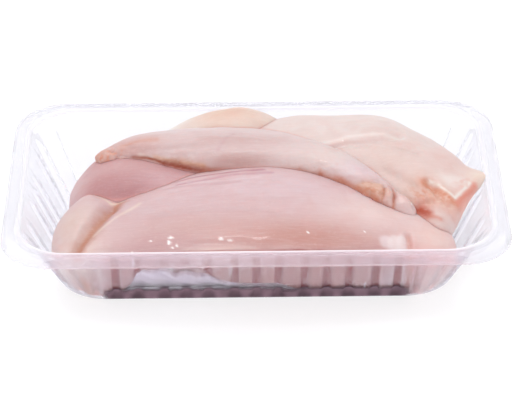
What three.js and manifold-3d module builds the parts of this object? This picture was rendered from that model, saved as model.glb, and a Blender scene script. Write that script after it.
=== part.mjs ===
// Meat tray pack: an open clear fluted tray with an absorbent pad on its floor and five raw poultry
// breast fillets lying over each other on the pad.
// Millimetres, +Z up, +X along the tray, -Y its front. The origin is the middle of the tray's underside.
import * as THREE from 'three'
import { mergeVertices } from 'three/addons/utils/BufferGeometryUtils.js'
import Module from 'manifold-3d'

const wasm = await Module()
wasm.setup()

// Tray, over its rim
const trayLength = 230
const trayWidth = 140
const trayHeight = 38
const rimCornerRadius = 23.1
const sheetThickness = 0.8

// Rim: a flat flange, a skirt turned down round it and a small stacking step inside it
const flangeWidth = 5.8
const skirtFlare = 1.6
const skirtDrop = 3.4
const stepWidth = 1.9
const stepDrop = 2.2

// Foot of the walls, and the floor that the tray stands on
const footLength = 179
const footWidth = 88.2
const footCornerRadius = 20.6
const footBevel = 1.6

// Flutes pressed into the walls, in groups of three
const fluteDepth = 1.5
const fluteHalfWidth = 2.4
const flutePitch = 10
const fluteGroupPitch = 31.9
const endFlutePitch = 10.6
const cornerFlutes = 5
const fluteFootFade = 4
const fluteTopFade = 5
const cornerArcSteps = 3

// Gap that is left wherever two pieces touch
const contactGap = 0.4

// Absorbent pad: flat on the floor, with part of its front edge pushed up against the front wall
const padLength = 150
const padBackY = 41
const padFrontY = -38
const padThickness = 2.6
const padEdgeRound = 3
const padEdgeThinning = 0.4
const curlStartY = -35
const curlForward = 12.5
const curlHeight = 20
const curlPower = 1.25
const curlProfile = [
  { x: -padLength / 2, curl: 0, steps: 0 },
  { x: -67, curl: 0, steps: 2 },
  { x: -51, curl: 1, steps: 6 },
  { x: -30, curl: 0.86, steps: 3 },
  { x: 12, curl: 0.42, steps: 5 },
  { x: 34, curl: 0, steps: 3 },
  { x: padLength / 2, curl: 0, steps: 4 },
]
const padAcross = 11

// Fillets: rows along each and points round it, how square the underside is, and the least detail kept
const filletRows = 24
const filletAround = 26
const undersidePower = 0.6
const leastDetail = 0.2

// Room that the fillets lie in, as high as the stack could reach
const roomHeight = 80
const roomArcSteps = 6

const colors = {
  tray: 0xeef0f6,
  pad: 0xe6e3ee,
  front: 0xe2bdb9,
  left: 0xd9abaa,
  right: 0xecd0c4,
  back: 0xf2dcc2,
  top: 0xe7c9c2,
}
const clearOpacity = 0.3
const glossy = 0.08
const moist = 0.35
const dry = 0.9

// A ring is one level of the tray: a rounded rectangle given by its half sizes, corner radius and height.
function ring(halfX, halfY, radius, z, flute = 0) {
  return { halfX, halfY, radius, z, flute }
}

function insetRing(from, inset, z, flute = 0) {
  return ring(from.halfX - inset, from.halfY - inset, from.radius - inset, z, flute)
}

function mixRings(low, high, z, flute = 0) {
  const share = (z - low.z) / (high.z - low.z)
  const mix = (a, b) => a + (b - a) * share
  return ring(mix(low.halfX, high.halfX), mix(low.halfY, high.halfY), mix(low.radius, high.radius), z, flute)
}

const rimEdge = ring(trayLength / 2, trayWidth / 2, rimCornerRadius, trayHeight)
const flangeOuter = insetRing(rimEdge, skirtFlare, trayHeight)
const flangeInner = insetRing(flangeOuter, flangeWidth, trayHeight)
const stepInner = insetRing(flangeInner, stepWidth, trayHeight - stepDrop)
const foot = ring(footLength / 2, footWidth / 2, footCornerRadius, 0)
const wallFoot = insetRing(foot, -footBevel, footBevel)

// Stations of a ring: each is a place along one side, or a share of the path round a corner, with the
// part of the flute's depth that it has.
function fluteStations(middles) {
  return middles.flatMap((middle) => [
    { at: middle - fluteHalfWidth, depth: 0 },
    { at: middle, depth: 1 },
    { at: middle + fluteHalfWidth, depth: 0 },
  ])
}

function longSideFlutes() {
  const groups = [-2, -1, 0, 1, 2].map((group) => group * fluteGroupPitch)
  const middles = groups.flatMap((middle) => [middle - flutePitch, middle, middle + flutePitch])
  const straightEnd = footLength / 2 - footCornerRadius - fluteHalfWidth
  return fluteStations(middles.filter((middle) => Math.abs(middle) < straightEnd))
}

function endSideFlutes() {
  return fluteStations([-1, 0, 1].map((place) => place * endFlutePitch))
}

function cornerStations() {
  const stations = []
  for (let flute = 0; flute < cornerFlutes; flute++) {
    for (let step = 0; step <= cornerArcSteps; step++) {
      const share = (flute + (step + 0.5) / (cornerArcSteps + 1)) / cornerFlutes
      const onCrest = step > 0 && step < cornerArcSteps
      stations.push({ share, depth: onCrest ? 1 : 0 })
    }
  }
  return stations
}

const longStations = longSideFlutes()
const endStations = endSideFlutes()
const cornerPath = cornerStations()
const longFixed = footLength / 2 - footCornerRadius
const endFixed = footWidth / 2 - footCornerRadius

// A place on the path round the corner in the quarter +X +Y, from the end wall's straight part to the
// long wall's: straight up the end wall, round the arc, then straight along the long wall.
function cornerPoint(level, share) {
  const straightY = level.halfY - level.radius - endFixed
  const straightX = level.halfX - level.radius - longFixed
  const arc = level.radius * Math.PI / 2
  const along = share * (straightY + arc + straightX)
  if (along < straightY) {
    return { x: level.halfX, y: endFixed + along, nx: 1, ny: 0 }
  }
  if (along < straightY + arc) {
    const angle = (along - straightY) / level.radius
    const nx = Math.cos(angle)
    const ny = Math.sin(angle)
    const centreX = level.halfX - level.radius
    const centreY = level.halfY - level.radius
    return { x: centreX + level.radius * nx, y: centreY + level.radius * ny, nx, ny }
  }
  const left = along - straightY - arc
  return { x: level.halfX - level.radius - left, y: level.halfY, nx: 0, ny: 1 }
}

function ringPoints(level) {
  const points = []
  const push = (p, depth) => {
    const inward = level.flute * depth
    points.push(new THREE.Vector3(p.x - p.nx * inward, p.y - p.ny * inward, level.z))
  }
  const corner = (signX, signY, stations) => {
    for (const { share, depth } of stations) {
      const p = cornerPoint(level, share)
      push({ x: p.x * signX, y: p.y * signY, nx: p.nx * signX, ny: p.ny * signY }, depth)
    }
  }
  const backwards = [...cornerPath].reverse()
  endStations.forEach(({ at, depth }) => push({ x: level.halfX, y: at, nx: 1, ny: 0 }, depth))
  corner(1, 1, cornerPath)
  longStations.forEach(({ at, depth }) => push({ x: -at, y: level.halfY, nx: 0, ny: 1 }, depth))
  corner(-1, 1, backwards)
  endStations.forEach(({ at, depth }) => push({ x: -level.halfX, y: -at, nx: -1, ny: 0 }, depth))
  corner(-1, -1, cornerPath)
  longStations.forEach(({ at, depth }) => push({ x: at, y: -level.halfY, nx: 0, ny: -1 }, depth))
  corner(1, -1, backwards)
  return points
}

// A closed body from rings of equal count, each ring joined to the next, with a flat cap at both ends.
function loftRings(rings) {
  const positions = []
  const indices = []
  const count = rings[0].length
  rings.forEach((points) => points.forEach((p) => positions.push(p.x, p.y, p.z)))
  for (let row = 0; row + 1 < rings.length; row++) {
    for (let i = 0; i < count; i++) {
      const next = (i + 1) % count
      const a = row * count + i
      const b = row * count + next
      const c = a + count
      const d = b + count
      indices.push(a, b, d, a, d, c)
    }
  }
  const cap = (row, facesBack) => {
    const middle = rings[row].reduce((sum, p) => sum.add(p), new THREE.Vector3()).divideScalar(count)
    const centre = positions.length / 3
    positions.push(middle.x, middle.y, middle.z)
    for (let i = 0; i < count; i++) {
      const a = row * count + i
      const b = row * count + (i + 1) % count
      indices.push(...(facesBack ? [centre, b, a] : [centre, a, b]))
    }
  }
  cap(0, true)
  cap(rings.length - 1, false)
  const geometry = new THREE.BufferGeometry()
  geometry.setAttribute('position', new THREE.Float32BufferAttribute(positions, 3))
  geometry.setIndex(indices)
  return geometry
}

// The tray's skin, from the middle of its underside out, up and over the rim, and down the inside.
function trayGeometry() {
  const skin = sheetThickness
  const fluteLow = fluteFootFade + footBevel
  const fluteHigh = stepInner.z - fluteTopFade
  const outside = [
    foot,
    wallFoot,
    mixRings(wallFoot, stepInner, fluteLow, fluteDepth),
    mixRings(wallFoot, stepInner, fluteHigh, fluteDepth),
    stepInner,
    insetRing(flangeInner, 0, trayHeight - skin),
    insetRing(flangeOuter, skin, trayHeight - skin),
    insetRing(rimEdge, skin, trayHeight - skirtDrop),
  ]
  const inside = [
    insetRing(rimEdge, 0, trayHeight - skirtDrop),
    flangeOuter,
    insetRing(flangeInner, skin, trayHeight),
    insetRing(stepInner, skin, stepInner.z),
    insetRing(outside[3], skin, fluteHigh, fluteDepth),
    insetRing(outside[2], skin, fluteLow, fluteDepth),
    insetRing(wallFoot, skin, footBevel + skin / 2),
    insetRing(foot, skin, skin),
  ]
  return loftRings([...outside, ...inside].map(ringPoints))
}

// Rounded rectangle without flutes, moved in from a ring of the tray by a clearance.
function plainRing(from, z, clearance) {
  const { halfX, halfY, radius } = insetRing(from, clearance, z)
  const points = []
  for (let quarter = 0; quarter < 4; quarter++) {
    for (let step = 0; step <= roomArcSteps; step++) {
      const angle = (quarter + step / roomArcSteps) * Math.PI / 2
      const signX = quarter === 0 || quarter === 3 ? 1 : -1
      const signY = quarter < 2 ? 1 : -1
      const x = signX * (halfX - radius) + radius * Math.cos(angle)
      const y = signY * (halfY - radius) + radius * Math.sin(angle)
      points.push(new THREE.Vector3(x, y, z))
    }
  }
  return points
}

// Rows of the pad along X, with the share of the curl that each has, eased between the named places.
function padRows() {
  const rows = [curlProfile[0]]
  for (let i = 1; i < curlProfile.length; i++) {
    const low = curlProfile[i - 1]
    const high = curlProfile[i]
    for (let step = 1; step <= high.steps; step++) {
      const x = THREE.MathUtils.lerp(low.x, high.x, step / high.steps)
      const eased = THREE.MathUtils.smoothstep(x, low.x, high.x)
      rows.push({ x, curl: THREE.MathUtils.lerp(low.curl, high.curl, eased) })
    }
  }
  return rows
}

// Middle line of the pad from back to front at one row: flat, then rising where the row is curled.
function padLine(share, curl) {
  const frontY = padFrontY - curlForward * curl
  const y = THREE.MathUtils.lerp(padBackY, frontY, share)
  const raised = Math.max((curlStartY - y) / (curlStartY - padFrontY + curlForward), 0)
  const z = sheetThickness + contactGap + padThickness / 2 + curlHeight * curl * raised ** curlPower
  return new THREE.Vector2(y, z)
}

// The pad is a thin slab lofted along X: each ring runs forwards along its top and back along its
// underside, half a thickness to either side of the middle line. It thins to a rounded edge all round.
function padGeometry(grow = 0) {
  const half = padLength / 2
  const depth = padBackY - padFrontY
  const nudge = 0.005
  const rings = padRows().map(({ x, curl }) => {
    const fromEnd = Math.min((half - Math.abs(x)) / padEdgeRound, 1)
    const side = (direction) => {
      const points = []
      for (let step = 0; step <= padAcross; step++) {
        const share = Math.sin(Math.PI / 2 * step / padAcross)
        const at = padLine(share, curl)
        const run = padLine(share + nudge, curl).sub(padLine(share - nudge, curl)).normalize()
        const fromSide = Math.min(Math.min(share, 1 - share) * depth / padEdgeRound, 1)
        const thinning = padEdgeThinning * (2 - fromEnd - fromSide)
        const reach = direction * (padThickness / 2 * (1 - thinning) + grow)
        const slide = (share - 0.5) * 2 * grow
        const y = at.x + run.x * slide + run.y * reach
        const z = at.y + run.y * slide - run.x * reach
        points.push(new THREE.Vector3(x + grow * x / half, y, z))
      }
      return points
    }
    return [...side(1), ...side(-1).reverse()]
  })
  return loftRings(rings)
}

// The room that the meat can fill: inside the flutes' crests up to where they fade, close to the wall
// above that, and over the flange and higher without a limit.
function roomGeometry() {
  const clearance = sheetThickness + contactGap
  const fluteHigh = mixRings(wallFoot, stepInner, stepInner.z - fluteTopFade)
  return loftRings([
    plainRing(foot, clearance, clearance + fluteDepth),
    plainRing(fluteHigh, fluteHigh.z, clearance + fluteDepth),
    plainRing(stepInner, stepInner.z, clearance),
    plainRing(flangeInner, trayHeight + contactGap, clearance),
    plainRing(rimEdge, trayHeight + contactGap + flangeWidth, skirtFlare),
    plainRing(rimEdge, roomHeight, 0),
  ])
}

// Smooth curve through the stations of a fillet: a cubic between neighbours, with the mean slope at each.
function through(stations, pick) {
  const xs = stations.map((station) => station.x)
  const values = stations.map(pick)
  const slope = (i) => {
    const low = Math.max(i - 1, 0)
    const high = Math.min(i + 1, xs.length - 1)
    return (values[high] - values[low]) / (xs[high] - xs[low])
  }
  return (x) => {
    const past = xs.findIndex((stationX) => stationX > x)
    const i = past < 1 ? (past === 0 ? 0 : xs.length - 2) : past - 1
    const span = xs[i + 1] - xs[i]
    const t = THREE.MathUtils.clamp((x - xs[i]) / span, 0, 1)
    const rest = 1 - t
    return values[i] * (1 + 2 * t) * rest * rest + values[i + 1] * (3 - 2 * t) * t * t +
      slope(i) * span * t * rest * rest - slope(i + 1) * span * t * t * rest
  }
}

function signedPower(value, power) {
  return Math.sign(value) * Math.abs(value) ** power
}

// A crease is a groove along a line between two places seen from above, deepest on the line.
function creaseDepth(crease, x, y) {
  const [fromX, fromY] = crease.from
  const [toX, toY] = crease.to
  const dx = toX - fromX
  const dy = toY - fromY
  const along = THREE.MathUtils.clamp(((x - fromX) * dx + (y - fromY) * dy) / (dx * dx + dy * dy), 0, 1)
  const away = Math.hypot(x - fromX - dx * along, y - fromY - dy * along)
  return crease.depth * Math.exp(-((away / crease.width) ** 2))
}

// A fillet is lofted along X. Each station gives the points of one cross-section, as [y, z]: its front
// edge, its back edge and its ridge, with the height of its keel below the ridge. The four quarters
// between them are elliptical, and all close to a point at both ends.
function filletGeometry(fillet, grow = 0) {
  const { stations, creases = [], lifts = [] } = fillet
  const curve = (pick) => through(stations, pick)
  const guide = {
    frontY: curve((s) => s.front[0]),
    frontZ: curve((s) => s.front[1]),
    backY: curve((s) => s.back[0]),
    backZ: curve((s) => s.back[1]),
    ridgeY: curve((s) => s.ridge[0]),
    ridgeZ: curve((s) => s.ridge[1]),
    keel: curve((s) => s.keel),
  }
  const first = stations[0].x - grow
  const last = stations[stations.length - 1].x + grow
  const middle = (first + last) / 2
  const half = (last - first) / 2
  const rings = []
  for (let row = 1; row < filletRows; row++) {
    const share = -Math.cos(Math.PI * row / filletRows)
    const x = middle + half * share
    const blunt = share < 0 ? fillet.bluntStart : fillet.bluntEnd
    const swell = (1 - Math.abs(share) ** blunt) ** (1 / blunt)
    const nearY = guide.frontY(x)
    const farY = guide.backY(x)
    const centreY = guide.ridgeY(x)
    const tilt = (guide.backZ(x) - guide.frontZ(x)) / (farY - nearY)
    const centreZ = guide.frontZ(x) + tilt * (centreY - nearY)
    const points = []
    for (let i = 0; i < filletAround; i++) {
      const angle = 2 * Math.PI * i / filletAround
      const across = Math.cos(angle)
      const upward = signedPower(Math.sin(angle), Math.sin(angle) < 0 ? undersidePower : 1)
      const reach = (across > 0 ? farY - centreY : centreY - nearY) * swell + grow
      const rise = (upward > 0 ? guide.ridgeZ(x) - centreZ : centreZ - guide.keel(x)) * swell + grow
      const y = centreY + across * reach
      const groove = creases.reduce((sum, crease) => sum + creaseDepth(crease, x, y), 0)
      const lift = lifts.reduce((sum, crease) => sum + creaseDepth(crease, x, y), 0)
      const carved = Math.max(-upward, 0) * lift - Math.max(upward, 0) * groove
      const z = centreZ + tilt * across * reach + upward * rise + carved
      points.push(new THREE.Vector3(x, y, z))
    }
    rings.push(points)
  }
  return loftRings(rings)
}

// How bluntly each end of a fillet closes, its stations, and the grooves in its top and hollows under it
const front = {
  bluntStart: 3.8,
  bluntEnd: 4,
  stations: [
    { x: -93, front: [-60, 20], back: [-6, 20], ridge: [-34, 39], keel: 3 },
    { x: -79, front: [-66, 20], back: [6, 20], ridge: [-26, 42], keel: 2 },
    { x: -64, front: [-66, 20], back: [0, 20], ridge: [-30, 39], keel: 2 },
    { x: -45, front: [-68, 22], back: [7, 20], ridge: [-22, 40], keel: 2 },
    { x: -24, front: [-70, 22], back: [18, 20], ridge: [-12, 42], keel: 2 },
    { x: 10, front: [-70, 20], back: [22, 18], ridge: [-9, 44], keel: 2 },
    { x: 42, front: [-68, 18], back: [8, 18], ridge: [-22, 41], keel: 2 },
    { x: 62, front: [-66, 18], back: [-8, 18], ridge: [-32, 38], keel: 2 },
    { x: 80, front: [-66, 18], back: [-12, 18], ridge: [-40, 38], keel: 2 },
    { x: 91, front: [-64, 18], back: [-18, 18], ridge: [-42, 37], keel: 3 },
  ],
  creases: [
    { from: [-64, -18], to: [-79, -50], width: 4, depth: 3.4 },
    { from: [-33, -54], to: [4, -53], width: 3, depth: 1.5 },
    { from: [69, -46], to: [69, -62], width: 2.5, depth: 1.5 },
  ],
  lifts: [
    { from: [-49, -56], to: [-34, -56], width: 13, depth: 22 },
    { from: [-18, -56], to: [6, -56], width: 12, depth: 12 },
  ],
}

const left = {
  bluntStart: 2.6,
  bluntEnd: 2.6,
  stations: [
    { x: -87, front: [-30, 20], back: [30, 20], ridge: [5, 37], keel: 5 },
    { x: -72, front: [-34, 18], back: [40.5, 18], ridge: [12, 41], keel: 3 },
    { x: -45, front: [-30, 18], back: [44, 18], ridge: [8, 39], keel: 3 },
    { x: -15, front: [-20, 16], back: [48, 16], ridge: [14, 38], keel: 3 },
    { x: 12, front: [0, 14], back: [46, 14], ridge: [24, 34], keel: 4 },
  ],
}

const right = {
  bluntStart: 2.4,
  bluntEnd: 4,
  stations: [
    { x: -34, front: [14, 22], back: [44, 22], ridge: [26, 42], keel: 8 },
    { x: -8, front: [6, 20], back: [56, 20], ridge: [30, 45], keel: 3 },
    { x: 20, front: [-2, 18], back: [62, 20], ridge: [32, 44.8], keel: 3 },
    { x: 42, front: [-10, 18], back: [62, 20], ridge: [30, 46.2], keel: 3 },
    { x: 62, front: [-24, 18], back: [61, 20], ridge: [23, 47], keel: 3 },
    { x: 82, front: [-44, 24], back: [47.5, 22], ridge: [9, 45.3], keel: 10 },
    { x: 91, front: [-34, 29], back: [35, 27], ridge: [3.5, 43.6], keel: 20 },
    { x: 99, front: [-17, 34], back: [15, 33], ridge: [-3, 41.5], keel: 30 },
    { x: 107, front: [-8, 37.5], back: [7, 37], ridge: [-3, 41.5], keel: 35 },
  ],
  creases: [
    { from: [34, 15], to: [68, 24], width: 4, depth: 2.5 },
    { from: [80, -11], to: [91, -23], width: 3.5, depth: 3 },
    { from: [98, -10], to: [91, -23], width: 3.5, depth: 3 },
  ],
}

const back = {
  bluntStart: 2.4,
  bluntEnd: 2.4,
  stations: [
    { x: -56, front: [20, 22], back: [48, 20], ridge: [38, 33], keel: 12 },
    { x: -40, front: [22, 24], back: [56, 22], ridge: [41, 40], keel: 12 },
    { x: -20, front: [24, 26], back: [61, 24], ridge: [42, 45.5], keel: 12 },
    { x: -2, front: [24, 28], back: [62, 26], ridge: [43, 47.5], keel: 12 },
    { x: 22, front: [30, 30], back: [60, 28], ridge: [42, 42], keel: 12 },
  ],
}

const top = {
  bluntStart: 3,
  bluntEnd: 3,
  stations: [
    { x: -75.5, front: [12, 37], back: [27, 37], ridge: [18, 43.5], keel: 28 },
    { x: -56, front: [12, 38], back: [36, 36], ridge: [22, 47], keel: 26 },
    { x: -28, front: [3, 39], back: [38, 36], ridge: [20, 49], keel: 26 },
    { x: 6, front: [-1, 40], back: [36, 38], ridge: [14, 49], keel: 26 },
    { x: 32, front: [-6, 39], back: [22, 38], ridge: [6, 48], keel: 26 },
    { x: 54, front: [-22, 37], back: [4, 38], ridge: [-10, 45], keel: 26 },
    { x: 73, front: [-38, 34], back: [-20, 34], ridge: [-28, 40], keel: 26 },
  ],
  creases: [
    { from: [56, -22], to: [59, -30], width: 2.5, depth: 2 },
    { from: [63, -14], to: [66, -34], width: 2.5, depth: 2 },
  ],
}

function solidOf(geometry) {
  const bare = geometry.clone()
  bare.deleteAttribute('normal')
  bare.deleteAttribute('uv')
  const merged = mergeVertices(bare)
  const vertProperties = new Float32Array(merged.attributes.position.array)
  const triVerts = new Uint32Array(merged.index.array)
  return new wasm.Manifold(new wasm.Mesh({ numProp: 3, vertProperties, triVerts }))
}

function geometryOf(solid) {
  const { vertProperties, triVerts } = solid.getMesh()
  const geometry = new THREE.BufferGeometry()
  geometry.setAttribute('position', new THREE.BufferAttribute(vertProperties, 3))
  geometry.setIndex(new THREE.BufferAttribute(triVerts, 1))
  return geometry
}

function largestPiece(solid) {
  const pieces = solid.decompose()
  return pieces.reduce((best, piece) => (piece.volume() > best.volume() ? piece : best))
}

// Each fillet fills the room that the pad and the fillets under it leave.
function restingOn(fillet, under) {
  let solid = solidOf(filletGeometry(fillet)).intersect(solidOf(roomGeometry()))
  solid = solid.subtract(solidOf(padGeometry(contactGap)))
  for (const lower of under) {
    solid = solid.subtract(solidOf(filletGeometry(lower, contactGap)))
  }
  return geometryOf(largestPiece(solid).simplify(leastDetail))
}

function mesh(name, geometry, color, roughness) {
  geometry.computeVertexNormals()
  const material = new THREE.MeshStandardMaterial({ color, roughness, metalness: 0 })
  const piece = new THREE.Mesh(geometry, material)
  piece.name = name
  return piece
}

function clearMesh(name, geometry, color) {
  const piece = mesh(name, geometry, color, glossy)
  piece.material.transparent = true
  piece.material.opacity = clearOpacity
  return piece
}

const group = new THREE.Group()
group.add(
  clearMesh('tray', trayGeometry(), colors.tray),
  mesh('pad', padGeometry(), colors.pad, dry),
  mesh('fillet_front', restingOn(front, []), colors.front, moist),
  mesh('fillet_left', restingOn(left, [front]), colors.left, moist),
  mesh('fillet_right', restingOn(right, [front, left]), colors.right, moist),
  mesh('fillet_back', restingOn(back, [front, left, right]), colors.back, moist),
  mesh('fillet_top', restingOn(top, [front, left, right, back]), colors.top, moist),
)

export default group
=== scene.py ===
"""Meat tray pack: an open clear fluted tray, an absorbent pad and five raw poultry fillets.

Sizes in the shape functions are millimetres, and a mesh is scaled to metres when it is made.
+X runs along the tray, -Y is its front and +Z is up. The origin is the middle of the tray's underside.
"""

import math

import bpy
import numpy as np
from bpy.props import FloatProperty, FloatVectorProperty, PointerProperty
from mathutils import Matrix, Vector


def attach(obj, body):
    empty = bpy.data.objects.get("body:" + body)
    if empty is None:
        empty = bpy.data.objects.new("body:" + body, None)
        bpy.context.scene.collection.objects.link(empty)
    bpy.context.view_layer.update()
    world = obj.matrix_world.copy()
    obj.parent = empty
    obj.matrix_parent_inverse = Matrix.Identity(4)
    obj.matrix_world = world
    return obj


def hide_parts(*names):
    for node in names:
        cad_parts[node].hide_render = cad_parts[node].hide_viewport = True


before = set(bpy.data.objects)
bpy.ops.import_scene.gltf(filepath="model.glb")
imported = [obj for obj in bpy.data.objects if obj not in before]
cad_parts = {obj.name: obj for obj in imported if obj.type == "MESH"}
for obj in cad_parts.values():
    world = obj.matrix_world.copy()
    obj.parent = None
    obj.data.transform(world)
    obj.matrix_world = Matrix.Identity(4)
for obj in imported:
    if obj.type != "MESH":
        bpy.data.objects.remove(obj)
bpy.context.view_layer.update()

bl_info = {
    "name": "Meat tray pack",
    "version": (1, 0, 0),
    "blender": (4, 5, 0),
    "location": "3D View > Sidebar > Meat tray",
    "description": "Makes a clear fluted tray with raw fillets on an absorbent pad",
    "category": "Add Mesh",
}

MM = 0.001
GAP = 0.4
SEAM = 0.1

# Tray outline: half length, half width and corner radius, at the foot and at the rim's edge
FOOT = (89.5, 44.1, 20.6)
RIM = (115.0, 70.0, 23.1)
RIM_SPREAD = 25.7
HEIGHT = 38.0
SHEET = 0.5
CAD_SHEET = 0.8
FOOT_BEVEL = 1.6
STEP_SPREAD = 16.4
STEP_Z = 35.8
FLANGE_SPREAD = 18.3
FLANGE_OUT = 24.1
SKIRT_Z = 34.6
END_FIXED = FOOT[1] - FOOT[2]
LONG_FIXED = FOOT[0] - FOOT[2]
OUTLINE_PITCH = 0.61
ROOM_PITCH = 0.9

# Flutes: the long walls have groups of three, the ends three and each corner five
FLUTE_PITCH = 10.0
FLUTE_GROUP_PITCH = 31.9
END_FLUTE_PITCH = 10.6
CORNER_FLUTES = 5
CORNER_FLUTE_PITCH = 9.6
FLUTE_FOOT = (1.8, 5.6)
FLUTE_TOP = (30.4, 35.4)

# Underside and floor: where the grid's rings lie, as shares of the way from the middle to the foot
FLOOR_RINGS = (0.02, 0.3, 0.6, 0.78, 0.8, 0.82, 0.84, 0.88, 0.92, 0.96, 0.98)

# Juice and painted shade along the front foot: how high they reach, and between which places they fade at
# both ends
JUICE_AND_SHADE_LEVEL = 7.4
JUICE_AND_SHADE_ENDS = (66, 71)

# Share of the light that the thin sheet lets straight through
STRAIGHT_THROUGH = 0.62

# Pad: flat on the floor, with part of its front edge pushed up against the front wall
PAD_LENGTH = 150.0
PAD_BACK_Y = 41.0
PAD_FRONT_Y = -38.0
PAD_THICKNESS = 2.6
PAD_EDGE = 3.0
CURL_START_Y = -37.0
CURL_FORWARD = 12.5
CURL_HEIGHT = 20.0
CURL_POWER = 1.25
PAD_RINGS = (260, 110)
PAD_CUTTER_RINGS = (120, 60)
CURL_PLACES = [(-75, 0), (-67, 0), (-51, 1), (-30, 0.86), (12, 0.42), (34, 0), (75, 0)]

# Fillets: rows along each, points over its top and points under it
FILLET_ROWS = 290
TOP_POINTS = 150
UNDER_POINTS = 56
UNDERSIDE_POWER = 0.6
BESIDE = -99.0


def srgb(red, green, blue):
    """Linear colour of three screen values from 0 to 255."""
    value = np.array([red, green, blue], float) / 255
    return tuple(np.where(value <= 0.04045, value / 12.92, ((value + 0.055) / 1.055) ** 2.4))


# Each fillet: stations along it as (x, front y z, back y z, ridge y z, keel z), how bluntly its ends
# close, grooves in its top and hollows under it as (path, width, depth) seen from above, and its fibres'
# length, width and height. Its colours are a base, and then tones, patches with a sharp edge and speckled
# grains as (x, y, reach x, reach y, colour, strength), and stains and pale films as (path, width, colour,
# strength), where a path with three numbers a point lies in space and one with two is seen from above.
# Some tones and stains are painted shade or painted highlights, each marked where it stands. Lobes and
# ragged places are (x, y, reach x, reach y, height), and glints and wet places (x, y, reach x, reach y).
FRONT = {
    "stations": [
        (-93, -60, 20, -6, 20, -34, 39, -1),
        (-79, -66, 20, 6, 20, -26, 42, -2),
        (-64, -66, 20, 0, 20, -30, 39, -2),
        (-45, -68, 22, 7, 20, -22, 40, 2),
        (-24, -70, 22, 18, 20, -12, 42, 2),
        (10, -70, 20, 22, 18, -9, 44, 2),
        (42, -68, 18, 8, 18, -22, 41, 2),
        (62, -66, 18, -8, 18, -32, 38, -1),
        (80, -66, 18, -12, 18, -40, 38, -2),
        (91, -64, 18, -18, 18, -42, 37, -1),
    ],
    "blunt": (3.8, 4),
    "grooves": [
        ([(-62, -10), (-66, -22)], 3.6, 1.2),
        ([(-66, -22), (-70, -32), (-75, -42), (-81, -51)], 3.6, 3.4),
        ([(-77, -39), (-80, -46), (-83, -57)], 2.0, 1.2),
        ([(-36, -57), (-24, -54), (-8, -54), (5, -58)], 2.4, 1.0),
        ([(68, -46), (68.5, -54), (68, -62)], 1.6, 1.5),
        ([(-44, -12), (-20, -8), (8, -12)], 1.3, 0.5),
        ([(-38, -17), (-12, -13), (22, -17)], 1.5, 0.45),
        ([(-48, -32), (-20, -30), (14, -36)], 2.6, 0.5),
    ],
    "hollows": [([(-49, -56), (-34, -56)], 13, 22), ([(-18, -56), (6, -56)], 12, 10.5)],
    "fibre": (34, 2.4, 0.09),
    "base": (226, 193, 195),
    "tones": [
        (0, -18, 60, 13, (231, 203, 209), 0.8),
        (-20, -34, 40, 10, (221, 187, 190), 0.7),
        (22, -50, 46, 10, (208, 152, 142), 0.95),
        (-28, -44, 24, 7, (218, 176, 172), 0.7),
        (-84, -34, 12, 17, (233, 208, 201), 0.9),
        (-78, -52, 9, 8, (226, 192, 190), 0.7),
        (-44, -55, 18, 9, (208, 164, 165), 0.9),
        (-84, -54, 13, 9, (255, 240, 232), 1.0),
        (86, -60, 18, 12, (255, 140, 136), 0.95),
        (82, -46, 14, 14, (250, 222, 215), 0.9),
        (54, -32, 22, 13, (244, 217, 214), 0.9),
        (-18, -58, 17, 3.2, (238, 214, 208), 0.8),
    ],
    "stains": [
        ([(-63, -17), (-66, -24), (-70, -33), (-75, -42), (-80, -50)], 3.0, (202, 138, 112), 0.9),
        # Painted highlights: along the ridge beside the valley, and along the knob's top edge
        ([(-53, -23), (-57.5, -27.5), (-63, -32.5), (-67.5, -37.5), (-73, -43)], 0.9, (244, 222, 210), 0.7),
        ([(-79, -9), (-74, -8), (-69.5, -14), (-66.5, -17), (-61, -15.5)], 1.0, (246, 230, 214), 0.75),
        ([(68.5, -46), (69, -60)], 1.1, (222, 162, 150), 0.7),
        ([(-37, -6), (-28, -4.6), (-18.6, -3.8), (-8, -3.2), (4, -3)], 0.7, (186, 122, 142), 0.75),
        ([(-35, -3.8), (-27, -2.8), (-18, -2), (-8, -1.6)], 0.5, (248, 230, 232), 0.6),
        ([(-36, -10.5), (-25.5, -9), (-16, -7), (-7, -6.4), (8, -6.6)], 0.9, (204, 150, 166), 0.6),
        ([(-42, -13.5), (-25.4, -13.5), (-7, -12.5)], 0.8, (208, 164, 174), 0.45),
        ([(-35, -12), (-16, -10.5), (2, -10)], 0.6, (242, 218, 224), 0.5),
    ],
    "patches": [
        (58.4, -50, 3.2, 3.4, (250, 234, 238), 0.7),
        (62, -50.4, 3.4, 4.4, (255, 244, 244), 0.75),
        (65.4, -50.2, 2.8, 4.8, (255, 244, 244), 0.75),
    ],
    "films": [
        ([(13.5, -50.2, 19.2), (16.3, -48.5, 15.9), (19.5, -47.3, 13.3), (22.4, -45.2, 9.1)], 0.6,
         (250, 234, 238), 0.8),
        ([(19.5, -47.3, 13.3), (24.9, -48, 14.9), (29.3, -49.2, 17.2), (33.1, -47.2, 13), (36.1, -44.7, 8)],
         0.6, (250, 234, 238), 0.7),
        ([(36.1, -44.7, 8), (41.8, -44, 7), (47, -44.4, 7.8)], 0.6, (240, 214, 220), 0.6),
    ],
    "glints": [
        (-39.1, -52, 0.6, 1.1), (-38.4, -49.3, 1.0, 0.7), (-37.7, -54.6, 0.6, 0.5), (-35.6, -53.6, 0.6, 0.4),
        (-15.6, -50.9, 1.1, 0.5), (-12, -51.6, 1.8, 0.4), (-47.6, -50.2, 0.5, 0.4), (-57.6, -55.1, 0.6, 0.5),
        (-55.6, -55, 0.5, 0.7), (-55.9, -57.6, 0.5, 0.6), (23, -48, 0.5, 0.4), (49, -46, 0.5, 0.4),
    ],
}

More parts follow.
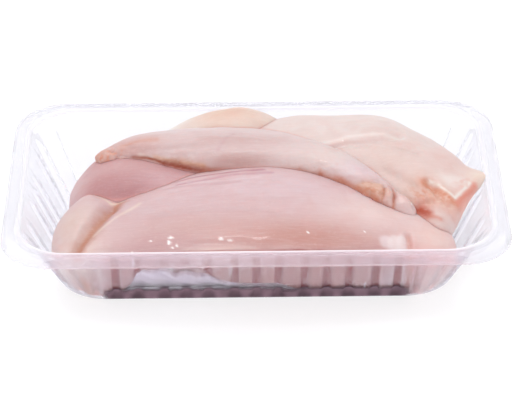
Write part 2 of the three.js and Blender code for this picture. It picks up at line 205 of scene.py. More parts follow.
LEFT = {
    "stations": [
        (-87, -30, 20, 30, 20, 5, 37, 5),
        (-72, -34, 18, 40.5, 18, 12, 41, 3),
        (-45, -30, 18, 44, 18, 8, 39, 3),
        (-15, -20, 16, 48, 16, 14, 38, 3),
        (12, 0, 14, 46, 14, 24, 34, 4),
    ],
    "blunt": (2.6, 2.6),
    "grooves": [([(-70, -18), (-60, -8), (-48, 0)], 3, 0.5)],
    "hollows": [],
    "fibre": (26, 2.6, 0.12),
    # Darker than the other fillets, partly painted shade under the top strip
    "base": (208, 158, 160),
    "tones": [
        (-84, 2, 6, 26, (230, 198, 199), 0.95),
        # Painted shade, darkest next to the front fillet
        (-60, -8, 22, 12, (199, 144, 147), 0.8),
        (-54, -11, 15, 8, (180, 118, 122), 0.75),
        (-64, 9, 26, 6, (222, 182, 184), 0.7),
        (-42, -2, 12, 8, (222, 184, 190), 0.7),
    ],
    "stains": [],
}

RIGHT = {
    "stations": [
        (-34, 14, 22, 44, 22, 26, 42, 8),
        (-8, 6, 20, 56, 20, 30, 45, 3),
        (20, -2, 18, 62, 20, 32, 44.8, 3),
        (42, -10, 18, 62, 20, 30, 46.2, 3),
        (62, -24, 18, 61, 20, 23, 47, 3),
        (82, -44, 24, 47.5, 22, 9, 45.3, 10),
        (91, -34, 29, 35, 27, 3.5, 43.6, 20),
        (99, -17, 34, 15, 33, -3, 41.5, 30),
        (107, -8, 37.5, 7, 37, -3, 41.5, 35),
    ],
    "blunt": (2.4, 4),
    "grooves": [
        ([(33, 14), (42, 17), (52, 16), (68, 20)], 2.4, 1.7),
        ([(58, 15), (68, 12), (76, 8)], 2.0, 1.0),
        ([(80, -14), (85, -23), (91, -30)], 2.6, 3.0),
        ([(99, -17), (95, -24), (91, -30)], 2.4, 3.0),
        ([(60, -2), (74, -16), (84, -30)], 2.2, 0.8),
        ([(40, 34), (62, 30), (82, 18)], 3.0, 0.5),
    ],
    "hollows": [],
    "fibre": (30, 3.0, 0.12),
    "base": (238, 217, 213),
    "tones": [
        (40, 36, 50, 16, (240, 224, 221), 0.8),
        (62, 4, 14, 14, (233, 206, 199), 0.8),
        (92, 2, 14, 14, (239, 207, 202), 0.8),
        (105, -6, 7, 12, (246, 226, 212), 0.9),
        (90.5, -11, 7, 5, (252, 243, 240), 0.9),
        (98, -22, 6, 8, (255, 196, 180), 0.95),
        (88, -27.5, 5, 4.5, (242, 200, 192), 0.85),
        (83, -22, 8, 6, (232, 168, 144), 0.9),
        # Painted shade between the top strip's tip and this fillet
        (76, -28, 4, 5, (214, 124, 98), 0.8),
        (30, 12, 9, 4, (232, 196, 190), 0.5),
        (76, -14, 9, 8, (228, 184, 168), 0.7),
    ],
    "stains": [
        # Painted shade under the fold, and a painted highlight along its edge
        ([(33, 16), (44, 19), (60, 18), (72, 12)], 1.4, (230, 198, 195), 0.45),
        ([(30, 18.5), (44, 22), (60, 21.5), (70, 19)], 0.9, (252, 244, 240), 0.6),
        # Painted shade between the top strip's tip and this fillet, deep red
        ([(72, -26.5), (75, -28), (79, -31)], 1.6, (196, 84, 58), 0.9),
        ([(79, -32), (84, -34)], 1.2, (222, 142, 124), 0.7),
        ([(78, -12.5), (83, -17.5), (88, -21.5), (91, -23.5)], 2.0, (226, 148, 116), 0.85),
        ([(92.5, -22.5), (96.5, -16), (101, -10.5)], 1.7, (238, 150, 130), 0.9),
        ([(80.5, -11.6), (84, -14.8), (87.6, -18.6), (91.3, -21.2), (95, -15.4), (99, -9.8)], 0.8,
         (255, 248, 242), 0.9),
        ([(103, -14), (100, -22), (92, -34)], 1.6, (248, 228, 206), 0.8),
    ],
    "lobes": [(78, -22, 3, 3, 0.7), (84, -25, 3, 3, 0.6)],
    "ragged": [(80, -24, 8, 6, 1.2)],
    "grains": [
        (80, -21, 7, 5, (222, 142, 110), 0.8), (84, -24, 6, 5, (248, 218, 204), 0.8),
        (76, -16, 6, 5, (222, 160, 136), 0.7), (97, -10, 5, 4, (240, 190, 178), 0.6),
    ],
    "glints": [(79.6, -16.6, 0.5, 0.5), (81.4, -20, 0.4, 0.7)],
}

BACK = {
    "stations": [
        (-56, 20, 22, 48, 20, 38, 33, 12),
        (-40, 22, 24, 56, 22, 41, 40, 12),
        (-20, 24, 26, 61, 24, 42, 45.5, 12),
        (-2, 24, 28, 62, 26, 43, 47.5, 12),
        (22, 30, 30, 60, 28, 42, 42, 12),
    ],
    "blunt": (2.4, 2.4),
    "grooves": [],
    "hollows": [],
    "fibre": (22, 2.4, 0.14),
    "base": (240, 220, 211),
    "tones": [
        (-14, 44, 18, 9, (239, 200, 182), 0.85),
        (-42, 44, 12, 14, (252, 244, 240), 0.95),
        (-14, 58, 22, 5, (244, 226, 208), 0.7),
    ],
    "stains": [],
}

TOP = {
    "stations": [
        (-75.5, 12, 37, 27, 37, 18, 43.5, 28),
        (-56, 12, 38, 36, 36, 22, 47, 26),
        (-28, 3, 39, 38, 36, 20, 49, 26),
        (6, -1, 40, 36, 38, 14, 49, 26),
        (32, -6, 39, 22, 38, 6, 48, 26),
        (54, -22, 37, 4, 38, -10, 45, 26),
        (73, -38, 34, -20, 34, -28, 40, 26),
    ],
    "blunt": (3, 3),
    "grooves": [
        ([(63.2, -15), (63.4, -21), (62.4, -29)], 1.3, 2.0),
        ([(59.4, -16), (58.6, -20), (57.2, -25)], 1.0, 1.3),
        ([(42, -11), (48, -13.4), (54, -14), (57, -12.8), (60, -14.8)], 1.2, 0.9),
        ([(66, -17), (69.5, -22), (71.5, -28)], 0.8, 0.6),
        ([(-58, 16), (-40, 12), (-22, 10)], 1.8, 0.7),
        ([(-30, 22), (0, 18), (26, 8)], 2.4, 0.4),
    ],
    "hollows": [],
    "fibre": (30, 2.4, 0.14),
    "base": (231, 208, 208),
    "tones": [
        (-60, 18, 18, 10, (222, 180, 176), 0.8),
        (-74, 15, 8, 6, (222, 170, 152), 0.85),
        (-12, 13, 26, 6, (214, 178, 176), 0.7),
        (-8, 2, 16, 4, (202, 154, 148), 0.75),
        (34, 4, 16, 10, (238, 217, 213), 0.8),
        (50, -6, 12, 8, (236, 214, 220), 0.8),
        (51, -17, 9, 4.5, (214, 158, 138), 0.9),
        (68, -24, 4.5, 7, (236, 200, 196), 0.9),
        (60.8, -21.5, 1.8, 3, (234, 190, 176), 0.85),
        (-30, 30, 40, 6, (236, 216, 218), 0.7),
    ],
    "stains": [
        ([(-62, 19), (-54, 20), (-46, 19)], 1.6, (222, 168, 152), 0.6),
        ([(-47, 10.8, 42.2), (-41, 8.3, 41.6), (-36, 6.4, 41.6), (-30, 4.6, 42), (-24, 3, 42)], 1.7,
         (232, 184, 154), 0.85),
        ([(-57, 13.5, 40.1), (-50.7, 12.4, 40.9), (-46.7, 10.8, 40.7), (-41.3, 8.3, 39.7)], 0.85,
         (176, 98, 68), 1.0),
        ([(-42, 8.5, 39.8), (-36.6, 6.4, 39.8), (-31.9, 4.8, 40.1), (-27, 3.4, 39.8), (-22.6, 2.4, 39.4)],
         2.0, (168, 84, 58), 1.0),
        # Painted highlight above the brown edge
        ([(-54, 13.4, 42.2), (-50.7, 12.4, 42.6), (-46.7, 10.8, 42.6)], 0.8, (255, 240, 228), 0.9),
        ([(-17, 8), (-14, 14), (-10, 20)], 0.9, (212, 172, 178), 0.45),
        ([(-24, 2), (-14, 0.4), (-7, -0.6), (2, -1.8), (12, -2.4), (21, -2.8), (30, -5.2)], 0.9,
         (190, 124, 102), 0.9),
        ([(30, -5.2), (39, -9.6), (45, -14), (54, -21), (62, -28)], 1.2, (206, 128, 98), 0.9),
        ([(63.2, -15), (63.4, -21), (62.4, -29)], 0.9, (206, 128, 100), 0.8),
        ([(59.4, -16), (58.6, -20), (57.2, -25)], 0.7, (206, 132, 104), 0.7),
    ],
    "lobes": [
        (68, -24, 4, 7, 1.5), (60.8, -21.5, 1.8, 3, 1.3), (56, -20, 1.6, 2.4, 0.8), (50, -17, 2.4, 2, 0.4),
        (-72, 15.4, 1.4, 1.4, 0.9), (-69, 15.8, 1.3, 1.3, 0.8), (-66, 14.8, 1.4, 1.2, 0.7),
        (-62.5, 14.4, 1.6, 1, 0.6),
    ],
    "ragged": [(54, -20, 10, 5, 0.8), (-70, 15, 11, 5, 1.1), (-40, 7, 20, 3, 0.5), (10, -4, 24, 3, 0.4)],
    "grains": [
        (-68, 15, 9, 4.5, (232, 168, 148), 0.85), (-72, 14.6, 3, 2, (206, 124, 98), 0.7),
        (52, -18, 9, 5, (216, 146, 116), 0.7), (14, -3, 16, 1.6, (200, 130, 106), 0.7),
    ],
    "patches": [(50.5, -16.4, 8, 3.4, (228, 184, 164), 0.85), (57, -18.6, 4.4, 4, (230, 184, 164), 0.75)],
    "glints": [(69.8, -19, 0.4, 1.6), (71, -24.5, 0.5, 2), (62.2, -18.5, 0.4, 1.2)],
    "wet": [(68, -26, 3, 4), (60.8, -22, 2, 3), (-46, 8, 6, 2), (-71, 15, 2, 1.6)],
}


class TraySettings(bpy.types.PropertyGroup):
    flute_depth: FloatProperty(
        name="Flute depth", description="How far each flute is pressed into the wall",
        default=1.5 * MM, unit="LENGTH")
    flute_half_width: FloatProperty(
        name="Flute half width", description="From the middle of a flute to its side at the foot of the wall",
        default=3.0 * MM, unit="LENGTH")
    ribbing_pitch: FloatProperty(
        name="Ribbing pitch", description="Distance between the fine ribs on the rim's skirt",
        default=2.1 * MM, unit="LENGTH")
    ribbing_depth: FloatProperty(
        name="Ribbing depth", description="Height of the fine ribs on the rim's skirt",
        default=0.22 * MM, unit="LENGTH")
    tint: FloatVectorProperty(
        name="Plastic", description="Colour that the light takes on through the clear sheet",
        default=srgb(249, 249, 252), subtype="COLOR", min=0, max=1)
    haze_and_highlight: FloatVectorProperty(
        name="Haze", description="Colour of the light that the sheet scatters", default=srgb(246, 244, 250),
        subtype="COLOR", min=0, max=1)
    # Pink of the meat, painted as light on the rim's haze in front of it
    painted_meat_light: FloatVectorProperty(
        name="Blush", description="Colour of the haze on the rim in front of the meat",
        default=srgb(255, 232, 238), subtype="COLOR", min=0, max=1)
    rim_haze: FloatProperty(
        name="Rim haze", description="Share of the light that one skin of the rim scatters", default=0.1,
        min=0, max=1)
    # Colour of the juice along the front foot, which also carries painted shade there
    juice: FloatVectorProperty(
        name="Juice", description="Colour of the meat juice along the front foot",
        default=srgb(140, 114, 126), subtype="COLOR", min=0, max=1)


class PadSettings(bpy.types.PropertyGroup):
    wrinkle: FloatProperty(
        name="Wrinkle height", description="Height of the wrinkles in the curled edge",
        default=0.7 * MM, unit="LENGTH")
    dry: FloatVectorProperty(
        name="Dry paper", description="Colour of the dry pad", default=srgb(238, 224, 233), subtype="COLOR",
        min=0, max=1)
    # Soaked paper low down, which also carries painted shade there
    soaked_and_shaded: FloatVectorProperty(
        name="Soaked paper", description="Colour where the pad has drawn in juice",
        default=srgb(148, 120, 134), subtype="COLOR", min=0, max=1)


class MeatSettings(bpy.types.PropertyGroup):
    lump_height: FloatProperty(
        name="Lump height", description="Height of the soft unevenness of the meat",
        default=0.5 * MM, unit="LENGTH")
    depth_of_light: FloatProperty(
        name="Depth of light", description="How far light spreads inside the meat",
        default=2.2 * MM, unit="LENGTH")
    # Soaked meat low down, which also carries painted shade there
    soaked_and_shaded: FloatVectorProperty(
        name="Soaked meat", description="Colour where the meat stands in juice",
        default=srgb(120, 82, 92), subtype="COLOR", min=0, max=1)
    tone: FloatProperty(
        name="Tone", description="Share of the light that the meat gives back", default=0.82, min=0, max=1)
    pressed: FloatVectorProperty(
        name="Pressed meat", description="Colour where the meat is wet against the wall",
        default=srgb(162, 42, 46), subtype="COLOR", min=0, max=1)
    # Warm painted shade where two fillets meet
    seam: FloatVectorProperty(
        name="Seam", description="Colour of the moist line where two fillets meet",
        default=srgb(240, 166, 156), subtype="COLOR", min=0, max=1)


class StudioSettings(bpy.types.PropertyGroup):
    floor: FloatVectorProperty(
        name="Floor", description="Colour of the floor", default=(0.34, 0.34, 0.35), subtype="COLOR",
        min=0, max=1)
    floor_glow: FloatProperty(
        name="Floor glow", description="Light that comes up through the floor", default=0.71, min=0)
    surround: FloatProperty(
        name="Surround light", description="Strength of the even light from all round", default=0.85, min=0)
    key: FloatProperty(
        name="Key light", description="Power of the large lamp above the pack", default=3.0, unit="POWER")
    distance: FloatProperty(
        name="Camera distance", description="From the camera to the middle of the pack", default=1.1556,
        unit="LENGTH")
    lens: FloatProperty(
        name="Lens", description="Focal length for a 36 mm sensor, in millimetres", default=173.33)
    elevation: FloatProperty(
        name="Elevation", description="How far the camera stands above the horizon",
        default=math.radians(32.84), subtype="ANGLE")
    heading: FloatProperty(
        name="Heading", description="How far the camera stands to the side", default=math.radians(-0.455),
        subtype="ANGLE")
    roll: FloatProperty(
        name="Roll", description="How far the camera leans", default=math.radians(-0.378), subtype="ANGLE")


def mix(low, high, share):
    return low + (high - low) * share


def smooth_step(low, high, value):
    """0 up to low, 1 from high, and an S-shaped rise between."""
    t = np.clip((value - low) / (high - low), 0, 1)
    return t * t * (3 - 2 * t)


def lattice(x, y, z, seed):
    """A fixed pseudo-random number from 0 to 1 for each whole-numbered place."""
    n = x * 73856093 ^ y * 19349663 ^ z * 83492791 ^ seed * 49979687
    n = (n ^ (n >> 13)) * 1274126177
    n = n ^ (n >> 16)
    return (n & 0xFFFF) / 0xFFFF


def lumps(points, size, seed):
    """Smooth random heights from -1 to 1: numbers at the corners of boxes of the given size (mm along x, y
    and z), blended across each box by a smooth step."""
    places = points / np.asarray(size, float)
    base = np.floor(places).astype(np.int64)
    t = places - base
    t = t * t * (3 - 2 * t)
    x, y, z = np.moveaxis(base, -1, 0)
    total = 0
    for dx in (0, 1):
        for dy in (0, 1):
            for dz in (0, 1):
                weight = abs(1 - dx - t[..., 0]) * abs(1 - dy - t[..., 1]) * abs(1 - dz - t[..., 2])
                total = total + weight * lattice(x + dx, y + dy, z + dz, seed)
    return 2 * total - 1


def from_path(places, path):
    """Distance of each place to the nearest part of a path of straight runs: in space where the path's
    points have three numbers, and seen from above where they have two."""
    nearest = np.inf
    for start, end in zip(path, path[1:]):
        start = np.array(start, float)
        run = np.array(end, float) - start
        offset = places[..., : len(run)] - start
        along = np.clip(offset @ run / (run @ run), 0, 1)
        nearest = np.minimum(nearest, np.linalg.norm(offset - along[..., None] * run, axis=-1))
    return nearest


def loft_faces(rows, around):
    """Corner numbers and face sizes of a grid closed round, with a fan from a middle point at both ends.
    The middle points come after the grid's own points."""
    row = np.arange(rows - 1)[:, None]
    step = np.arange(around)[None, :]
    a = row * around + step
    b = row * around + (step + 1) % around
    quads = np.stack([a, b, b + around, a + around], -1).reshape(-1, 4)
    i = np.arange(around)
    following = (i + 1) % around
    first = np.stack([np.full(around, rows * around), following, i], -1)
    last_row = (rows - 1) * around
    last = np.stack([np.full(around, rows * around + 1), last_row + i, last_row + following], -1)
    corners = np.concatenate([quads.ravel(), first.ravel(), last.ravel()])
    sizes = np.concatenate([np.full(len(quads), 4), np.full(2 * around, 3)])
    return corners, sizes


def mesh_of(name, points, corners, sizes):
    """A mesh in metres from points in millimetres, corner numbers and face sizes."""
    mesh = bpy.data.meshes.new(name)
    mesh.vertices.add(len(points))
    mesh.vertices.foreach_set("co", (points * MM).astype(np.float32).ravel())
    mesh.loops.add(len(corners))
    mesh.loops.foreach_set("vertex_index", corners.astype(np.int32))
    mesh.polygons.add(len(sizes))
    starts = np.concatenate([[0], np.cumsum(sizes)[:-1]])
    mesh.polygons.foreach_set("loop_start", starts.astype(np.int32))
    mesh.update(calc_edges=True)
    mesh.validate()
    return mesh


def lofted(name, grid):
    """An object from a grid of points (rows, round, xyz) in millimetres, closed at both ends."""
    rows, around = grid.shape[:2]
    middles = np.stack([grid[0].mean(0), grid[-1].mean(0)])
    points = np.concatenate([grid.reshape(-1, 3), middles])
    obj = bpy.data.objects.new(name, mesh_of(name, points, *loft_faces(rows, around)))
    bpy.context.scene.collection.objects.link(obj)
    return obj


def grid_normals(grid):
    """Unit normals of a grid closed round, from the differences between neighbouring points."""
    along = np.gradient(grid, axis=0)
    across = np.roll(grid, -1, axis=1) - np.roll(grid, 1, axis=1)
    normal = np.cross(across, along)
    return normal / np.maximum(np.linalg.norm(normal, axis=-1, keepdims=True), 1e-9)


def vertex_places(mesh):
    """Vertex places in millimetres."""
    places = np.empty(len(mesh.vertices) * 3, np.float32)
    mesh.vertices.foreach_get("co", places)
    return places.reshape(-1, 3).astype(float) / MM


def paint(mesh, name, colours):
    """Keeps one linear colour at each vertex in a named attribute."""
    attribute = mesh.attributes.new(name, "FLOAT_COLOR", "POINT")
    full = np.ones((len(colours), 4), np.float32)
    full[:, :3] = colours
    attribute.data.foreach_set("color", full.ravel())


def mask(mesh, name, values):
    """Keeps one number at each vertex in a named attribute."""
    attribute = mesh.attributes.new(name, "FLOAT", "POINT")
    attribute.data.foreach_set("value", values.astype(np.float32))


def cut(obj, cutter, operation="DIFFERENCE"):
    """Applies one Boolean with a closed cutter to the object's mesh."""
    modifier = obj.modifiers.new("cut", "BOOLEAN")
    modifier.object = cutter
    modifier.operation = operation
    modifier.solver = "MANIFOLD"
    bpy.context.view_layer.update()
    evaluated = obj.evaluated_get(bpy.context.evaluated_depsgraph_get())
    made = bpy.data.meshes.new_from_object(evaluated)
    old = obj.data
    obj.modifiers.clear()
    obj.data = made
    bpy.data.meshes.remove(old)
    if not len(made.vertices):
        raise RuntimeError(f"nothing is left of {obj.name} after a cut")


def discard(*objects):
    for obj in objects:
        mesh = obj.data
        bpy.data.objects.remove(obj)
        bpy.data.meshes.remove(mesh)


def keep_largest(obj):
    """Drops the loose scraps that a cut leaves. Each vertex takes the lowest number among those it is joined
    to, over and over, until every part has one number, and the number with most vertices stays."""
    mesh = obj.data
    ends = np.empty(len(mesh.edges) * 2, np.int32)
    mesh.edges.foreach_get("vertices", ends)
    ends = ends.reshape(-1, 2)
    label = np.arange(len(mesh.vertices))
    while True:
        low = label[ends].min(1)
        lower = label.copy()
        for side in (0, 1):
            np.minimum.at(lower, label[ends[:, side]], low)
        lower = lower[lower]
        if np.array_equal(lower, label):
            break
        label = lower
    names, counts = np.unique(label, return_counts=True)
    if len(names) == 1:
        return
    keep = label == names[counts.argmax()]
    corners = np.empty(len(mesh.loops), np.int32)
    mesh.loops.foreach_get("vertex_index", corners)
    sizes = np.empty(len(mesh.polygons), np.int32)
    mesh.polygons.foreach_get("loop_total", sizes)
    starts = np.concatenate([[0], np.cumsum(sizes)[:-1]])
    kept_faces = keep[corners[starts]]
    kept_corners = corners[np.repeat(kept_faces, sizes)]
    number = np.cumsum(keep) - 1
    obj.data = mesh_of(obj.name, vertex_places(mesh)[keep], number[kept_corners], sizes[kept_faces])
    bpy.data.meshes.remove(mesh)


def smooth(obj, angle):
    """Smooth shading, with an edge kept sharp where the faces turn by more than the angle."""
    obj.data.shade_smooth()
    obj.data.set_sharp_from_angle(angle=math.radians(angle))


def dress(obj, material, node):
    """Gives a finished piece its material, and lets it stand for its CAD node on the part's one body."""
    obj.data.materials.clear()
    obj.data.materials.append(material)
    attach(obj, "root")
    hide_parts(node)


# Tray


def flute_middles():
    """Where the flutes of the long walls stand along x: five groups of three, even pitches apart."""
    groups = np.arange(-2, 3) * FLUTE_GROUP_PITCH
    return (groups[:, None] + np.array([-1, 0, 1]) * FLUTE_PITCH).ravel()


def outline_places(pitch):
    """Places round the tray, from the right end wall on: the side that each is on (0 end, 1 corner, 2 long
    wall), its distance along a straight wall or its share of the path round a corner, the signs of x and y,
    and its distance from the middle of the nearest flute."""
    end = np.arange(-END_FIXED, END_FIXED, pitch)
    corner = np.arange(0, 1, pitch / (CORNER_FLUTES * CORNER_FLUTE_PITCH))
    long = np.arange(-LONG_FIXED, LONG_FIXED, pitch)
    middles = flute_middles()
    middles = middles[abs(middles) < LONG_FIXED - 2]
    end_away = abs(end[:, None] - np.array([-1, 0, 1]) * END_FLUTE_PITCH).min(1)
    long_away = abs(long[:, None] - middles).min(1)
    corner_away = abs((corner * CORNER_FLUTES) % 1 - 0.5) * CORNER_FLUTE_PITCH
    runs = [
        (0, end, 1, 1, end_away),
        (1, corner, 1, 1, corner_away),
        (2, -long, 1, 1, long_away),
        (1, 1 - corner, -1, 1, corner_away),
        (0, -end, -1, 1, end_away),
        (1, corner, -1, -1, corner_away),
        (2, long, 1, -1, long_away),
        (1, 1 - corner, 1, -1, corner_away),
    ]
    side, at, sign_x, sign_y, away = [
        np.concatenate([np.broadcast_to(run[part], run[1].shape) for run in runs]) for part in range(5)
    ]
    return {"side": side, "at": at, "sign_x": sign_x, "sign_y": sign_y, "away": away}


def outline_rows(places, spread, height, inset, flute, half_width):
    """Grid of points round the tray. Each row is a rounded rectangle that grows from the foot by its spread,
    less its inset. A corner place runs up the end wall's straight part, round the arc and along the long
    wall's. A flute moves the wall inwards by its depth times a bump across it."""
    spread, height, inset, flute, half_width = [
        np.asarray(values, float)[:, None] for values in (spread, height, inset, flute, half_width)
    ]
    share = spread / RIM_SPREAD
    half_x = mix(FOOT[0], RIM[0], share) - inset
    half_y = mix(FOOT[1], RIM[1], share) - inset
    radius = mix(FOOT[2], RIM[2], share) - inset
    straight_y = half_y - radius - END_FIXED
    straight_x = half_x - radius - LONG_FIXED
    arc = radius * math.pi / 2
    side, at = places["side"], places["at"]
    along = np.where(side == 1, at, 0) * (straight_y + arc + straight_x)
    angle = np.clip((along - straight_y) / radius, 0, math.pi / 2)
    angle = np.where(side == 0, 0, np.where(side == 2, math.pi / 2, angle))
    corner_x = half_x - radius + radius * np.cos(angle) - np.maximum(along - straight_y - arc, 0)
    corner_y = np.where(along < straight_y, END_FIXED + along, half_y - radius + radius * np.sin(angle))
    x = np.where(side == 0, half_x, np.where(side == 2, at, corner_x))
    y = np.where(side == 0, at, np.where(side == 2, half_y, corner_y))
    bump = 1 - smooth_step(0.3, 1, places["away"] / half_width)
    inward = flute * bump
    sign_x = np.where(side == 2, 1, places["sign_x"])
    sign_y = np.where(side == 0, 1, places["sign_y"])
    x = sign_x * x - places["sign_x"] * np.cos(angle) * inward * (side != 2)
    y = sign_y * y - places["sign_y"] * np.sin(angle) * inward * (side != 0)
    return np.stack([x, y, np.broadcast_to(height, x.shape)], -1)


def rounded_profile(corners, cut_back, longest):
    """Points along a profile whose inner corners are each replaced by a short curve that starts and ends the
    cut-back distance away, with no run longer than the longest step."""
    corners = [np.array(corner, float) for corner in corners]
    points = [corners[0]]
    for before, corner, after in zip(corners, corners[1:], corners[2:]):
        lead_in = before - corner
        lead_out = after - corner
        start = corner + lead_in * min(cut_back / np.linalg.norm(lead_in), 0.45)
        finish = corner + lead_out * min(cut_back / np.linalg.norm(lead_out), 0.45)
        for t in (0, 0.25, 0.5, 0.75, 1):
            points.append(start * (1 - t) ** 2 + corner * 2 * t * (1 - t) + finish * t**2)
    points.append(corners[-1])
    run = [points[0]]
    for point in points[1:]:
        steps = max(int(np.ceil(np.linalg.norm(point - run[-1]) / longest)), 1)
        start = run[-1]
        run.extend(start + (point - start) * (i + 1) / steps for i in range(steps))
    return np.array(run)


def flute_share(height):
    """How much of its depth a flute has at a height: none at the foot and under the stacking step."""
    return smooth_step(*FLUTE_FOOT, height) * (1 - smooth_step(*FLUTE_TOP, height))


def flute_half_width(height, widest):
    """Half width of a flute at a height: widest at the foot and about a quarter narrower at the step."""
    return widest * mix(1, 0.76, np.clip(height / STEP_Z, 0, 1))


def tray_grid(settings):
    """The clear sheet as one closed skin: from the middle of the underside out, up the outside of the wall,
    under the flange and down to the skirt's edge, then back over the flange and down the inside."""
    outside = rounded_profile(
        [(0, 0), (FOOT_BEVEL, FOOT_BEVEL), (STEP_SPREAD, STEP_Z), (FLANGE_SPREAD, HEIGHT - SHEET),
         (FLANGE_OUT - SHEET, HEIGHT - SHEET), (RIM_SPREAD - SHEET, SKIRT_Z)], 1.1, 2.2)
    inside = rounded_profile(
        [(RIM_SPREAD, SKIRT_Z), (FLANGE_OUT, HEIGHT), (FLANGE_SPREAD - SHEET, HEIGHT),
         (STEP_SPREAD - SHEET, STEP_Z), (FOOT_BEVEL - SHEET, FOOT_BEVEL + SHEET / 2), (-SHEET, SHEET)],
        1.1, 1.7)
    profile = np.concatenate([outside, inside])
    height = profile[:, 1]
    widest = settings.flute_half_width / MM
    depth = np.where(profile[:, 0] < STEP_SPREAD + 1, flute_share(height), 0) * settings.flute_depth / MM
    places = outline_places(OUTLINE_PITCH)
    nothing = np.zeros(len(profile))
    rows = outline_rows(places, profile[:, 0], height, nothing, depth, flute_half_width(height, widest))
    rows = ribbed_skirt(rows, profile, places, settings)
    shares = np.array(FLOOR_RINGS)[:, None, None]
    under = rows[:1] * shares
    over = rows[-1:] * shares[::-1]
    over[..., 2] = rows[-1, 0, 2]
    floor = np.zeros(len(shares))
    spread = np.concatenate([floor, profile[:, 0], floor])
    inner = np.arange(len(spread)) >= len(shares) + len(outside)
    return np.concatenate([under, rows, over]), spread, inner


def foot_juice_and_shade(grid, held, settings):
    """Juice with painted shade along the front foot, up to an uneven level: how much of it shows at each
    place, how far its colour reaches, and its colour, with painted shade darkest low down beside each flute.
    It colours both skins of the sheet, and its colour goes on above its level so that its edge isn't pale."""
    x, y, z = np.moveaxis(grid, -1, 0)
    fade_from, fade_to = JUICE_AND_SHADE_ENDS
    reach = smooth_step(-fade_to, -fade_from, x) * (1 - smooth_step(fade_from, fade_to, x))
    level = JUICE_AND_SHADE_LEVEL + 0.7 * lumps(grid, (5, 3, 3), 51)
    front = reach * (1 - smooth_step(-37.5, -35.5, y))
    juice = held[:, None] * front * (1 - smooth_step(level - 0.8, level, z))
    stained_and_shaded = held[:, None] * smooth_step(0, 0.2, front) * (1 - smooth_step(level + 1.5, level + 3, z))
    away = abs(x[..., None] - flute_middles()).min(-1)
    low = 1 - smooth_step(3.6, 5.8, z)
    # Painted shade: uneven, and darkest low down beside each flute
    dark = 0.2 + 0.3 * lumps(grid, (3, 3, 3), 52) + 0.7 * low * (1 - smooth_step(2, 4.5, away))
    pooled_and_shaded = np.array(settings.juice) * (1 - 0.6 * np.clip(dark, 0, 1)[..., None])
    return juice, stained_and_shaded, pooled_and_shaded


def paint_tray(tray, grid, spread, inner, settings):
    """Paints how much light each place scatters, and in which colour: a faint haze, more of it on the rim, a
    painted highlight along the rim's inner bend, strongest at the front, and along the skirt's edge, the
    meat's pink painted as light on the rim in front of it, and juice with painted shade along the front foot."""
    x, y = grid[..., 0], grid[..., 1]
    on_rim = smooth_step(STEP_SPREAD + 0.5, FLANGE_SPREAD, spread)
    # Painted highlight along the rim's inner bend, strongest at the front
    painted_bend_highlight = np.exp(-(((spread - FLANGE_SPREAD + 0.2) / 1.0) ** 2))[:, None]
    painted_bend_highlight = painted_bend_highlight * mix(0.35, 0.95, 1 - smooth_step(-60, -50, y))
    # Painted highlight along the skirt's edge
    painted_skirt_highlight = np.exp(-(((spread - RIM_SPREAD) / 0.5) ** 2)) * inner
    haze_and_highlight = np.minimum((0.04 + settings.rim_haze * on_rim + 0.2 * painted_skirt_highlight)[:, None] + painted_bend_highlight, 0.95)
    # Juice with painted shade along the front foot
    juice, stained_and_shaded, pooled_and_shaded = foot_juice_and_shade(grid, inner | (spread > 0.4), settings)
    # The meat's pink painted as light on the rim's haze in front of it
    before_meat = (1 - smooth_step(-62, -54, y)) * (1 - smooth_step(88, 100, abs(x)))
    colour = mix(np.array(settings.haze_and_highlight), np.array(settings.painted_meat_light), (before_meat * (1 - painted_bend_highlight))[..., None])
    colour = mix(colour, pooled_and_shaded, stained_and_shaded[..., None])
    cover = np.maximum(haze_and_highlight, 0.95 * juice)
    mask(tray.data, "cover", np.append(cover.ravel(), [0.02, 0.02]))
    paint(tray.data, "tint", np.concatenate([colour.reshape(-1, 3), np.tile(settings.haze_and_highlight, (2, 1))]))


def ribbed_skirt(rows, profile, places, settings):
    """Moves the skirt out and in by a fine wave along the rim, near the corners of the long walls."""
    on_skirt = smooth_step(FLANGE_OUT - 0.6, FLANGE_OUT + 0.3, profile[:, 0]) * (profile[:, 1] < HEIGHT - 0.4)
    x, y = rows[0, :, 0], rows[0, :, 1]
    steps = np.linalg.norm(np.diff(rows[len(rows) // 2], axis=0, prepend=rows[len(rows) // 2, -1:]), axis=1)
    travelled = np.cumsum(steps)
    wave = np.sin(2 * math.pi * travelled / (settings.ribbing_pitch / MM))
    near_corner = smooth_step(LONG_FIXED - 28, LONG_FIXED - 20, abs(x)) * (abs(y) > FOOT[1] * 0.55)
    outward = on_skirt[:, None] * wave * near_corner * settings.ribbing_depth / MM
    direction = rows[..., :2] - rows[..., :2] * [0.8, 0.6]
    direction /= np.linalg.norm(direction, axis=-1, keepdims=True)
    moved = rows.copy()
    moved[..., :2] += direction * outward[..., None]
    return moved


def room_cutter(settings):
    """The room inside the tray, a contact gap in from its sheet and flutes, and open above the rim."""
    heights = np.array([CAD_SHEET + GAP, 3, 4.4, 5.6, 12, 20, 28, 30.4, 31.6, 33, 34.4, 35.8])
    spread = mix(FOOT_BEVEL, STEP_SPREAD, (heights - FOOT_BEVEL) / (STEP_Z - FOOT_BEVEL))
    spread = np.append(spread, [FLANGE_SPREAD, RIM_SPREAD - 1.6, RIM_SPREAD - 1.6])
    heights = np.append(heights, [HEIGHT + GAP, HEIGHT + GAP + 6, 80])
    inset = np.full(len(heights), CAD_SHEET + GAP)
    depth = flute_share(heights) * settings.flute_depth / MM
    half_width = flute_half_width(heights, settings.flute_half_width / MM + GAP)
    rows = outline_rows(outline_places(ROOM_PITCH), spread, heights, inset, depth, half_width)
    return lofted("room_cutter", rows)


